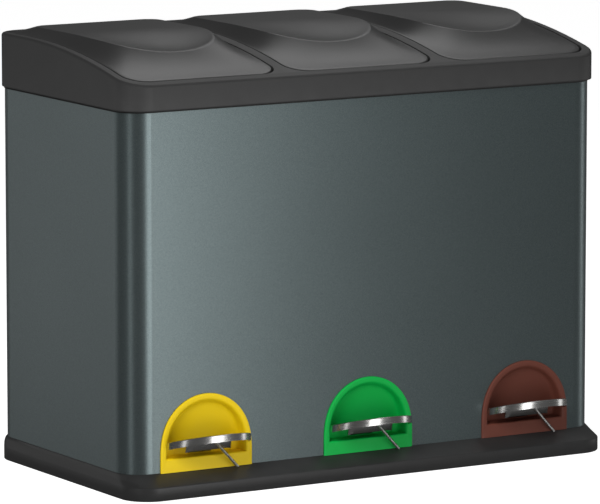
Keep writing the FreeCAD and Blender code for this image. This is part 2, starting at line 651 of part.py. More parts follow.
def lid_form(name, shrink, drop):
    """A lid's solid form, drawn in all round and lowered for its hollow."""
    body = new_body(name)
    half, tip, flat = f"lid_half - {shrink}", f"-(lid_front - {shrink})", f"hinge_y - 4 * {shrink}"
    plate = new_sketch(body, "XY", "lid_front_top - 30")
    draw_tongue(plate, half, flat, tip, f"lid_corner - {shrink}")
    pad(body, plate, "frame_top - lid_front_top + 35")
    trim_crown(body, drop)
    low = new_sketch(body, "XY", f"lid_front_top - {drop}")
    high = new_sketch(body, "XY", f"plateau_top - {drop}")
    draw_tongue(low, f"{half} - 0.2", f"{flat} - 0.2", f"{tip} + 0.2", f"lid_corner - {shrink}")
    draw_arch(high, f"lid_half - plateau_inset - {shrink}", f"half_depth - plateau_back - {shrink}", "-nose_start",
              f"-(crest_tip - {shrink})", "25")
    loft(body, "AdditiveLoft", low, high)
    dip = new_sketch(body, "YZ")
    fall = f"nose_drop / (nose_y - nose_start)"
    top = f"plateau_top - {drop}"
    draw_polygon(dip, [("-nose_start", top), ("-nose_start", f"{top} + 50"), ("-nose_start - 300", f"{top} + 50"),
                       ("-nose_start - 300", f"{top} - 300 * {fall}")])
    pocket(body, dip, FAR, symmetric=True)
    return body


def make_lid(name, side):
    outer = lid_form("lid_outside", "0", "0")
    trim_crown(outer, "lid_skirt", above=False)
    inner = lid_form("lid_inside", "lid_wall", "lid_wall")
    skin = cut("lid_skin", outer, inner)

    hinge = new_body("lid_hinge")
    barrel = new_sketch(hinge, "YZ")
    draw_circle(barrel, "hinge_y", "hinge_z", "hinge_barrel")
    pad(hinge, barrel, "2 * (lid_half + lid_gap - hinge_side_gap)", symmetric=True)
    shift = f"pedal_spread * {side}"
    arm = new_sketch(hinge, "YZ", shift)
    across, rise = "2 * sin(horn_droop)", "2 * cos(horn_droop)"
    draw_polygon(arm, [(f"hinge_y + {across}", f"hinge_z - {rise}"), (f"horn_y + {across}", f"horn_z - {rise}"),
                       (f"horn_y - {across}", f"horn_z + {rise}"), (f"hinge_y - {across}", f"hinge_z + {rise}")])
    pad(hinge, arm, "horn_width", symmetric=True)
    nose = new_sketch(hinge, "YZ", shift)
    draw_circle(nose, "horn_y", "horn_z", "horn_nose")
    pad(hinge, nose, "horn_width", symmetric=True)
    bore = rod("lid_bore", "hinge_pin_radius + running_gap", "2 * half_width", "-half_width", "hinge_y", "hinge_z",
               along="x")
    lid = cut("lid_" + name, fuse("lid_full", skin, hinge), bore)
    place(lid, "lid_" + name, f"lid_pitch * {side}")


def make_lift_gear(name, side):
    x = f"lid_pitch * {side}"
    pin = rod("hinge_pin_" + name, "hinge_pin_radius", "2 * (opening_half + hinge_pin_grip)",
              f"{x} - opening_half - hinge_pin_grip", "hinge_y + centre_y", "hinge_z", along="x")
    pin.Label = "hinge_pin_" + name
    subparts.append(pin)
    lift = rod("lift_rod_" + name, "rod_radius", "rod_top - rod_low", f"pedal_pitch * {side}", "rod_y + centre_y", "rod_low")
    lift.Label = "lift_rod_" + name
    subparts.append(lift)
    guide = cut("rod_clip_" + name,
                block("clip_block", "-clip_half_width", "clip_half_width", "rod_y - clip_nose",
                      "half_depth - shell_sheet", "clip_height", "clip_height + clip_thick"),
                rod("clip_hole", "rod_radius + guide_gap", "4 * clip_thick", "0", "rod_y", "clip_height - clip_thick"))
    place(guide, "rod_clip_" + name, f"pedal_pitch * {side}")


# ---- a pedal --------------------------------------------------------------------------------------------

def tread_z(y, drop="0"):
    """Height of the tilted tread's upper face at a place, less a drop."""
    return f"tread_height - (face_out + ({y})) * tilt_rise - ({drop})"


def trim_tilt(body, drop):
    """Removes all above the tread's upper face lowered by the drop."""
    above = new_sketch(body, "YZ")
    near, far = "-(face_out + 200)", "-(face_out - 200)"
    draw_polygon(above, [(near, tread_z(near, drop)), (far, tread_z(far, drop)), (far, FAR), (near, FAR)])
    pocket(body, above, FAR, symmetric=True)


def tread_form(name, shrink):
    body = new_body(name)
    plan = new_sketch(body, "XY", "floor_top")
    draw_arch(plan, f"tread_half_width - {shrink}", f"-tread_rear + 3 * ({shrink})", "-(tread_front - tread_reach)",
              f"-(tread_front - {shrink})", f"tread_corner - {shrink}")
    pad(body, plan, "100")
    return body


def make_tread(name, x):
    outer = tread_form("tread_outside", "0")
    trim_tilt(outer, "0")
    under = new_sketch(outer, "YZ")
    back, front = "-(face_out + flange_clear)", "-tread_front"
    draw_polygon(under, [(back, tread_z(back, "flange_back")), (front, tread_z(front, "flange_front")),
                         (f"{front} - 50", tread_z(front, "flange_front")), (f"{front} - 50", "-50"),
                         ("half_depth", "-50"), ("half_depth", tread_z(back, "flange_back"))])
    pocket(outer, under, FAR, symmetric=True)
    beside = new_sketch(outer, "XY", "floor_top")
    for near, far in (("tail_half_width", "2 * tread_half_width"), ("-2 * tread_half_width", "-tail_half_width")):
        draw_box(beside, near, far, back, "0")
    pocket(outer, beside, FAR, symmetric=True)
    inner = tread_form("tread_inside", "tread_sheet")
    tail = new_sketch(inner, "XY", "floor_top")
    draw_box(tail, "-2 * tread_half_width", "2 * tread_half_width", "-(face_out + flange_clear)", "0")
    pad(inner, tail, "100")
    trim_tilt(inner, "tread_sheet")
    place(cut("pedal_tread_" + name, outer, inner), "pedal_tread_" + name, x)


def make_lever(name, x):
    body = new_body("pedal_lever_" + name)
    side = new_sketch(body, "YZ")
    nose, knee = "-(face_out + lever_nose)", "-(half_depth - lever_knee)"
    bend, bend_z = "-pivot_y", "pivot_height + 3"
    rest, end = "rod_y - lever_pad", "rod_y + lever_pad"
    draw_polygon(side, [
        (nose, tread_z(nose, "tread_sheet")), (nose, tread_z(nose, "tread_sheet + lever_sheet")),
        (knee, tread_z(knee, "tread_sheet + lever_sheet")), (bend, f"{bend_z} - lever_sheet"),
        (rest, "lever_rear"), (end, "lever_rear"), (end, "lever_rear + lever_sheet"),
        (rest, "lever_rear + lever_sheet"), (bend, bend_z), (knee, tread_z(knee, "tread_sheet"))])
    pad(body, side, "lever_width", symmetric=True)
    hub = new_sketch(body, "YZ")
    draw_circle(hub, "-pivot_y", "pivot_height", "hub_radius")
    pad(body, hub, "lever_width", symmetric=True)
    bore = new_sketch(body, "YZ")
    draw_circle(bore, "-pivot_y", "pivot_height", "pivot_pin_radius + running_gap")
    pocket(body, bore, "2 * lever_width", symmetric=True)
    place(body, "pedal_lever_" + name, x)


def make_bracket(name, x):
    ear = "lever_width / 2 + ear_gap"
    pieces = [block("bracket_foot", "-bracket_half_width", "bracket_half_width", "-pivot_y - bracket_half_length",
                    "-pivot_y + bracket_half_length", "floor_top", "floor_top + ear_sheet")]
    for low, high in ((f"-({ear}) - ear_sheet", f"-({ear})"), (ear, f"{ear} + ear_sheet")):
        pieces.append(block("bracket_ear", low, high, "-pivot_y - ear_half_length", "-pivot_y + ear_half_length",
                            "floor_top", "pivot_height + ear_half_length"))
    holes = [rod("bracket_bore", "pivot_pin_radius", "2 * bracket_half_width", "-bracket_half_width", "-pivot_y",
                 "pivot_height", along="x")]
    for hand in (-1, 1):
        holes.append(rod("bracket_hole", "screw_radius", "20", f"screw_spread * {hand}", "-pivot_y", "floor_low"))
    place(cut("pedal_bracket_" + name, fuse("bracket_full", *pieces), fuse("bracket_holes", *holes)),
          "pedal_bracket_" + name, x)
    reach = f"{ear} + 2 * ear_sheet"
    pin = rod("pedal_pin_" + name, "pivot_pin_radius", f"2 * ({reach})", f"{x} - ({reach})", "centre_y - pivot_y",
              "pivot_height", along="x")
    pin.Label = "pedal_pin_" + name
    subparts.append(pin)


def make_screws():
    """The screws that hold the pivot brackets on the base's floor."""
    screws = []
    for side in SIDES.values():
        for hand in (-1, 1):
            x = f"pedal_pitch * {side} + screw_spread * {hand}"
            shank = rod("screw_shank", "screw_radius", "floor_sheet + ear_sheet", x, "-pivot_y", "floor_low")
            head = rod("screw_head", "screw_head_radius", "screw_head", x, "-pivot_y", "floor_top + ear_sheet")
            screws.append(fuse("screw", shank, head))
    place(group("bracket_screws", screws), "bracket_screws")


def make_housing(name, x):
    form = new_body("housing_form")
    flange = new_sketch(form, "XZ", "half_depth")
    draw_housing_outline(flange, "0", "base_top")
    pad(form, flange, "housing_proud")
    plug = new_sketch(form, "XZ", "half_depth")
    inset = "(housing_overlap + housing_gap)"
    draw_housing_outline(plug, inset, f"base_top + {inset}")
    pad(form, plug, "recess_depth + housing_wall - housing_proud", backwards=True)

    def slope(drop):
        """The sloping back wall of the recess, moved back by the drop."""
        foot, head = "base_top + recess_height", "base_top + housing_height - housing_rim"
        lean = "(recess_depth - recess_top_depth) / (housing_height - housing_rim - recess_height)"
        return [(f"{drop} + recess_depth - face_out + 30 * {lean}", f"{foot} - 30"),
                (f"{drop} + recess_top_depth - face_out - 30 * {lean}", f"{head} + 30")]

    behind = new_sketch(form, "YZ")
    low, high = slope("housing_wall")
    draw_polygon(behind, [low, ("half_depth", low[1]), ("half_depth", high[1]), high])
    pocket(form, behind, FAR, symmetric=True)

    recess = new_body("housing_recess")
    mouth = new_sketch(recess, "XZ", "face_out + 5")
    draw_housing_outline(mouth, "housing_rim", "base_top + recess_height")
    pad(recess, mouth, "recess_depth + 5", backwards=True)
    behind = new_sketch(recess, "YZ")
    low, high = slope("0")
    draw_polygon(behind, [low, ("half_depth", low[1]), ("half_depth", high[1]), high])
    pocket(recess, behind, FAR, symmetric=True)

    slot = block("housing_slot", "-(lever_width / 2 + slot_gap)", "lever_width / 2 + slot_gap", "-face_out + 1",
                 "-half_depth + 40", "base_top + recess_height", "base_top + recess_height + slot_height")
    inner = cut("housing_slot_inner", slot,
                block("slot_keep", "-housing_width", "housing_width", "-face_out - 1", "-face_out + 3", "0", "200"))
    place(cut("pedal_housing_" + name, form, fuse("housing_void", recess, inner)), "pedal_housing_" + name, x)


def make_spring(name, side):
    """The slender spring strut between the base's lip and the lever, as its outer form."""
    slope = number("(base_top - rim_top) / (base_front_lip - lip_land)")
    foot_out = number("spring_foot_out")
    radius = number("spring_radius")
    foot_y = -(number("half_depth") + foot_out)
    foot_z = number("base_top") - slope * (foot_out - number("lip_land")) + radius + number("spring_gap")
    head_y = -(number("half_depth") + number("spring_head_out"))
    under = number(tread_z(str(head_y), "tread_sheet + lever_sheet + spring_gap"))
    foot = FreeCAD.Vector(number("spring_side"), foot_y, foot_z)
    head = FreeCAD.Vector(0, head_y, under - radius)
    spring = doc.addObject("Part::Feature", "pedal_spring_" + name)
    spring.Shape = Part.makeCylinder(radius, (head - foot).Length, foot, head - foot)
    place(spring, "pedal_spring_" + name, f"pedal_pitch * {side}")


# ---- a bucket -------------------------------------------------------------------------------------------

def draw_bucket_outline(sketch, grow):
    draw_rounded(sketch, f"-(bucket_half + {grow})", f"bucket_half + {grow}", f"-(bucket_front + {grow})",
                 f"bucket_back + {grow}", f"bucket_corner + ({grow})")


def make_bucket(name, x):
    body = new_body("bucket_" + name)
    low, high = new_sketch(body, "XY", "rail_top"), new_sketch(body, "XY", "bucket_top")
    draw_bucket_outline(low, "(-bucket_taper)")
    draw_bucket_outline(high, "0")
    loft(body, "AdditiveLoft", low, high)
    rim = new_sketch(body, "XY", "bucket_top - bucket_rim_thick")
    draw_bucket_outline(rim, "bucket_rim")
    pad(body, rim, "bucket_rim_thick")
    low, high = new_sketch(body, "XY", "rail_top + bucket_wall"), new_sketch(body, "XY", "bucket_top")
    draw_bucket_outline(low, "(-bucket_taper - bucket_wall)")
    draw_bucket_outline(high, "(-bucket_wall)")
    loft(body, "SubtractiveLoft", low, high)
    ears = new_sketch(body, "YZ")
    draw_circle(ears, "-bail_forward", "bail_z", "bail_radius + running_gap")
    pocket(body, ears, FAR, symmetric=True)
    place(body, "bucket_" + name, x)


def make_bail(name, x):
    """A wire handle, folded back over the bucket's mouth, and the sleeve on its cross bar."""
    body = new_body("bucket_handle_" + name)
    path = new_sketch(body, "XY", "0")
    path.AttachmentOffset = FreeCAD.Placement(
        FreeCAD.Vector(), FreeCAD.Rotation(FreeCAD.Vector(1, 0, 0), number("bail_tilt")))
    path.setExpression("AttachmentOffset.Base.y", bound("-bail_forward"))
    path.setExpression("AttachmentOffset.Base.z", bound("bail_z"))
    side, reach = number("bail_half"), number("bail_reach")
    tuck, bend, hook = number("bail_tuck"), number("bail_bend"), number("bail_hook")
    path.addGeometry(Part.LineSegment(FreeCAD.Vector(tuck - side, 0, 0), FreeCAD.Vector(hook - side, 0, 0)), False)
    add_arc(path, hook - side, hook, hook, (180, 270), 1)
    path.addGeometry(Part.LineSegment(FreeCAD.Vector(-side, hook, 0), FreeCAD.Vector(-side, reach - bend, 0)), False)
    add_arc(path, bend - side, reach - bend, bend, (90, 180), 1)
    path.addGeometry(Part.LineSegment(FreeCAD.Vector(bend - side, reach, 0), FreeCAD.Vector(side - bend, reach, 0)), False)
    add_arc(path, side - bend, reach - bend, bend, (0, 90), 1)
    path.addGeometry(Part.LineSegment(FreeCAD.Vector(side, reach - bend, 0), FreeCAD.Vector(side, hook, 0)), False)
    add_arc(path, side - hook, hook, hook, (270, 360), 1)
    path.addGeometry(Part.LineSegment(FreeCAD.Vector(side - hook, 0, 0), FreeCAD.Vector(side - tuck, 0, 0)), False)
    join(path, 0, [(0, 2, 1, 2, "Tangent"), (1, 1, 2, 1, "Tangent"), (2, 2, 3, 2, "Tangent"), (3, 1, 4, 1, "Tangent"),
                   (4, 2, 5, 2, "Tangent"), (5, 1, 6, 1, "Tangent"), (6, 2, 7, 2, "Tangent"), (7, 1, 8, 1, "Tangent")])
    for edge in (0, 4, 8):
        path.addConstraint(Sketcher.Constraint("Horizontal", edge))
    fix_point(path, 0, 1, "bail_tuck - bail_half", "0")
    fix_point(path, 8, 2, "bail_half - bail_tuck", "0")
    fix(path, "DistanceX", "-bail_half", -1, 1, 2, 1)
    fix(path, "DistanceX", "bail_half", -1, 1, 6, 1)
    fix(path, "DistanceY", "bail_reach", -1, 1, 4, 1)
    for edge, radius in ((1, "bail_hook"), (3, "bail_bend"), (5, "bail_bend"), (7, "bail_hook")):
        fix(path, "Radius", radius, edge)
    wire = new_sketch(body, "YZ", "bail_tuck - bail_half")
    draw_circle(wire, "-bail_forward", "bail_z", "bail_radius")
    pipe = body.newObject("PartDesign::AdditivePipe", "wire")
    pipe.Profile = wire
    pipe.Spine = path
    place(body, "bucket_handle_" + name, x)

    sleeve = new_body("handle_grip_" + name)
    ring = new_sketch(sleeve, "YZ")
    y, z = "bail_reach * cos(bail_tilt) - bail_forward", "bail_z + bail_rise"
    draw_circle(ring, y, z, "grip_radius")
    draw_circle(ring, y, z, "bail_radius")
    pad(sleeve, ring, "grip_length", symmetric=True)
    place(sleeve, "handle_grip_" + name, x)


def make_rivets(name, x):
    """Two rivet heads under the lever, which hold the tread."""
    rivets = []
    for hand in (-1, 1):
        y = "-(face_out + rivet_out)"
        rivets.append(rod("rivet", "rivet_radius", "rivet_head", f"rivet_spread * {hand}", y,
                          tread_z(y, "tread_sheet + lever_sheet + rivet_head + rivet_radius * tilt_rise")))
    place(group("pedal_rivets_" + name, rivets), "pedal_rivets_" + name, x)


# ---- the whole object -----------------------------------------------------------------------------------

make_shell()
make_base()
make_feet()
make_frame()
make_buffers()
make_screws()
for name, side in SIDES.items():
    lid_x, pedal_x = f"lid_pitch * {side}", f"pedal_pitch * {side}"
    make_lid(name, side)
    make_lift_gear(name, side)
    make_tread(name, pedal_x)
    make_lever(name, pedal_x)
    make_rivets(name, pedal_x)
    make_bracket(name, pedal_x)
    make_housing(name, pedal_x)
    make_spring(name, side)
    make_bucket(name, lid_x)
    make_bail(name, lid_x)
doc.recompute()

faults = [f"{o.Name}: {o.State}" for o in doc.Objects if "Invalid" in o.State or "Error" in o.State]
faults += [f"{o.Label}: empty or invalid" for o in subparts if o.Shape.isNull() or not o.Shape.isValid()]
if faults:
    raise RuntimeError("; ".join(faults))

os.makedirs("parts", exist_ok=True)
for piece in subparts:
    piece.Shape.exportStep(f"parts/{piece.Label}.step")
    size = piece.Shape.BoundBox
    print(f"{piece.Label:22s} solids {len(piece.Shape.Solids)} volume {piece.Shape.Volume / 1000:9.2f} cm3 "
          f"x {size.XMin:7.1f} {size.XMax:7.1f} y {size.YMin:7.1f} {size.YMax:7.1f} z {size.ZMin:6.1f} {size.ZMax:6.1f}")
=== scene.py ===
"""Looks of a three-compartment pedal bin: lids, top frame, steel body, base, pedals and buckets.

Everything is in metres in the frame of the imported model: X to the right, Y to the back, Z up, floor at Z = 0.
"""
from __future__ import annotations

import json
import logging
import math
from dataclasses import dataclass, field
from enum import Enum
from typing import Callable, Sequence

import bpy
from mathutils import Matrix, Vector

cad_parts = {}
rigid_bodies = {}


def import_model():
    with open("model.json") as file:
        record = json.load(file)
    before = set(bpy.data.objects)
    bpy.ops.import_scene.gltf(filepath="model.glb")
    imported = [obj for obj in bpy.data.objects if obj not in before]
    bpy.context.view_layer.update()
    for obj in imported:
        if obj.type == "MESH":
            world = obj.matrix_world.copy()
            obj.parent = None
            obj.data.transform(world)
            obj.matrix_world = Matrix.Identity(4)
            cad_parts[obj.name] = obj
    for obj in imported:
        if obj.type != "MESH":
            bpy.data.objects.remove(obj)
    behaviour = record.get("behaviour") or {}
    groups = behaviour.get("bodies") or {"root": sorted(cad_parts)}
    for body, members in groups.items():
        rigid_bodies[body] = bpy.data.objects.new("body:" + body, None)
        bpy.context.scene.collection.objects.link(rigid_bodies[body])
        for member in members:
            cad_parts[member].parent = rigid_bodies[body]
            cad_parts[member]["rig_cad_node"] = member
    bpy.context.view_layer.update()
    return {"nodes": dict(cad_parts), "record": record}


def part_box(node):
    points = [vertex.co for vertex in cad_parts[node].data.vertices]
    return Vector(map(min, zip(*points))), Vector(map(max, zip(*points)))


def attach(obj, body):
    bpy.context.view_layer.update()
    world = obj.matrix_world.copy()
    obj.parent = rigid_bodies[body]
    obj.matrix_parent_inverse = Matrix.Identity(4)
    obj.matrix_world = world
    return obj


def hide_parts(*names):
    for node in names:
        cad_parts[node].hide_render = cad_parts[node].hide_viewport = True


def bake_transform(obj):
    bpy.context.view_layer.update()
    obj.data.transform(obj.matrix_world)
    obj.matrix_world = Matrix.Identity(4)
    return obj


LOG = logging.getLogger("pedal_bin")
Loop = list[Vector]
Colour = tuple[float, float, float]
Sockets = bpy.types.NodeOutputs
Sources = Sequence[bpy.types.NodeSocket]


class Side(Enum):
    """A compartment, with its place in the row from left to right."""

    LEFT = -1
    MIDDLE = 0
    RIGHT = 1

    @property
    def word(self) -> str:
        """The compartment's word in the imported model's names."""
        return self.name.lower()


# ---- modelling ------------------------------------------------------------------------------------------

class Bench:
    """Small modelling steps that the sub-assemblies share."""

    @staticmethod
    def clear() -> None:
        """Leaves nothing selected, so that an operator acts on one piece only."""
        if bpy.context.object and bpy.context.object.mode != "OBJECT":
            bpy.ops.object.mode_set(mode="OBJECT")
        bpy.ops.object.select_all(action="DESELECT")

    @staticmethod
    def take(piece: bpy.types.Object) -> None:
        """Makes one piece the only selected and the active one.

        Args:
            piece: The piece to work on.
        """
        Bench.clear()
        piece.select_set(True)
        bpy.context.view_layer.objects.active = piece

    @staticmethod
    def face(piece: bpy.types.Object, way: Vector) -> None:
        """Turns an open skin over if the face that lies furthest one way looks the other way.

        Args:
            piece: The open skin.
            way: The direction that its outer side faces.
        """
        outer = max(piece.data.polygons, key=lambda part: part.center.dot(way))
        if outer.normal.dot(way) < 0:
            Bench.reopen(piece, "FACE")
            bpy.ops.mesh.select_all(action="SELECT")
            bpy.ops.mesh.flip_normals()
            Bench.done()

    @staticmethod
    def done() -> None:
        """Closes edit mode."""
        bpy.ops.object.mode_set(mode="OBJECT")

    @staticmethod
    def select_last(piece: bpy.types.Object, count: int) -> None:
        """Selects the vertices that were added last.

        Args:
            piece: The piece, in object mode.
            count: How many vertices to select.
        """
        for part in (piece.data.polygons, piece.data.edges, piece.data.vertices):
            part.foreach_set("select", [False] * len(part))
        for vertex in piece.data.vertices[len(piece.data.vertices) - count:]:
            vertex.select = True

    @staticmethod
    def skin(name: str, loops: Sequence[Loop], cap_first: bool = False, cap_last: bool = False,
             closed: bool = True) -> bpy.types.Object:
        """Grows a skin by extruding one loop of vertices from section to section.

        Args:
            name: The new piece's name.
            loops: Sections with the same number of points, in the order they are passed.
            cap_first: Whether a face closes the first section.
            cap_last: Whether a face closes the last section.
            closed: Whether each section runs round to its start.

        Returns:
            The piece, with its doubles merged and its faces outwards.
        """
        Bench.clear()
        count = len(loops[0])
        bpy.ops.mesh.primitive_circle_add(vertices=count, fill_type="NGON" if cap_first else "NOTHING")
        piece = bpy.context.object
        piece.name = piece.data.name = name
        Bench._place_last(piece, loops[0])
        if not closed:
            Bench.select_last(piece, 0)
            gap = next(e for e in piece.data.edges if set(e.vertices) == {0, count - 1})
            gap.select = True
            Bench.reopen(piece, "EDGE")
            bpy.ops.mesh.delete(type="EDGE")
            Bench.done()
        for loop in loops[1:]:
            Bench.select_last(piece, count)
            Bench.reopen(piece, "VERT")
            bpy.ops.mesh.select_mode(type="EDGE")
            bpy.ops.mesh.extrude_edges_move()
            Bench.done()
            Bench._place_last(piece, loop)
        Bench.select_last(piece, count)
        Bench.reopen(piece, "VERT")
        if cap_last:
            bpy.ops.mesh.edge_face_add()
        bpy.ops.mesh.select_all(action="SELECT")
        bpy.ops.mesh.remove_doubles(threshold=1e-6)
        bpy.ops.mesh.normals_make_consistent(inside=False)
        Bench.done()
        return piece

    @staticmethod
    def reopen(piece: bpy.types.Object, element: str) -> None:
        """Opens a piece in edit mode and keeps what is selected.

        Args:
            piece: The piece to work on.
            element: VERT, EDGE or FACE.
        """
        Bench.take(piece)
        bpy.ops.object.mode_set(mode="EDIT")
        bpy.ops.mesh.select_mode(type=element)

    @staticmethod
    def _place_last(piece: bpy.types.Object, loop: Loop) -> None:
        """Moves the vertices that were added last to a section's points."""
        for vertex, point in zip(piece.data.vertices[-len(loop):], loop):
            vertex.co = point

    @staticmethod
    def modify(piece: bpy.types.Object, kind: str, **settings: object) -> None:
        """Adds one modifier and applies it.

        Args:
            piece: The piece to change.
            kind: The modifier's type.
            settings: Its settings by name.
        """
        Bench.take(piece)
        modifier = piece.modifiers.new(kind.lower(), kind)
        for key, value in settings.items():
            setattr(modifier, key, value)
        bpy.ops.object.modifier_apply(modifier=modifier.name)

    @staticmethod
    def join(name: str, pieces: Sequence[bpy.types.Object]) -> bpy.types.Object:
        """Joins pieces into the first one.

        Args:
            name: The joined piece's name.
            pieces: What to join.

        Returns:
            The joined piece.
        """
        Bench.take(pieces[0])
        for piece in pieces[1:]:
            piece.select_set(True)
        if len(pieces) > 1:
            bpy.ops.object.join()
        pieces[0].name = pieces[0].data.name = name
        return pieces[0]

    @staticmethod
    def copy(piece: bpy.types.Object, name: str, shift: Vector) -> bpy.types.Object:
        """Copies a piece with a mesh of its own and moves the mesh.

        Args:
            piece: What to copy.
            name: The copy's name.
            shift: How far the copy moves.

        Returns:
            The copy.
        """
        Bench.take(piece)
        bpy.ops.object.duplicate(linked=False)
        made = bpy.context.object
        made.name = made.data.name = name
        made.location = shift
        bpy.ops.object.transform_apply(location=True, rotation=True, scale=True)
        return made

    @staticmethod
    def smooth(piece: bpy.types.Object, degrees: float = 35.0) -> None:
        """Smooth shading that keeps edges sharper than an angle.

        Args:
            piece: The piece to shade.
            degrees: The sharpest angle that is still smooth.
        """
        Bench.take(piece)
        bpy.ops.object.shade_smooth_by_angle(angle=math.radians(degrees))


@dataclass(frozen=True)
class RoundedBox:
    """A rectangular outline with four rounded corners, seen from above."""

    low_x: float
    high_x: float
    low_y: float
    high_y: float
    radius: float
    steps: int = 12
    straight: int = 6

    def grown(self, by: float) -> "RoundedBox":
        """The outline grown, or shrunk, all round."""
        return RoundedBox(self.low_x - by, self.high_x + by, self.low_y - by, self.high_y + by,
                          self.radius + by, self.steps, self.straight)

    def points(self) -> list[tuple[float, float]]:
        """The outline's points, anticlockwise from the front edge."""
        r = self.radius
        centres = [(self.high_x - r, self.low_y + r, -90), (self.high_x - r, self.high_y - r, 0),
                   (self.low_x + r, self.high_y - r, 90), (self.low_x + r, self.low_y + r, 180)]
        arcs = []
        for x, y, start in centres:
            turns = [math.radians(start + 90 * k / self.steps) for k in range(self.steps + 1)]
            arcs.append([(x + r * math.cos(a), y + r * math.sin(a)) for a in turns])
        made: list[tuple[float, float]] = []
        for arc, after in zip(arcs, arcs[1:] + arcs[:1]):
            made += arc
            (x0, y0), (x1, y1) = arc[-1], after[0]
            made += [(x0 + (x1 - x0) * k / self.straight, y0 + (y1 - y0) * k / self.straight)
                     for k in range(1, self.straight)]
        return made

    def loop(self, height: float | Callable[[float], float]) -> Loop:
        """The outline as a section at one height, or at a height that depends on y."""
        rise = height if callable(height) else lambda _y: height
        return [Vector((x, y, rise(y))) for x, y in self.points()]


# ---- finishes -------------------------------------------------------------------------------------------

def wire(tree: bpy.types.NodeTree, kind: str, sockets: dict[str | int, object], **settings: object) -> bpy.types.Node:
    """Adds one node and feeds its inputs.

    Args:
        tree: The node tree to add to.
        kind: The node's type.
        sockets: What each input gets: another node's output, or a plain value.
        settings: The node's own settings.

    Returns:
        The node.
    """
    node = tree.nodes.new(kind)
    for key, value in settings.items():
        setattr(node, key, value)
    for key, value in sockets.items():
        if isinstance(value, bpy.types.NodeSocket):
            tree.links.new(value, node.inputs[key])
        else:
            node.inputs[key].default_value = value
    return node


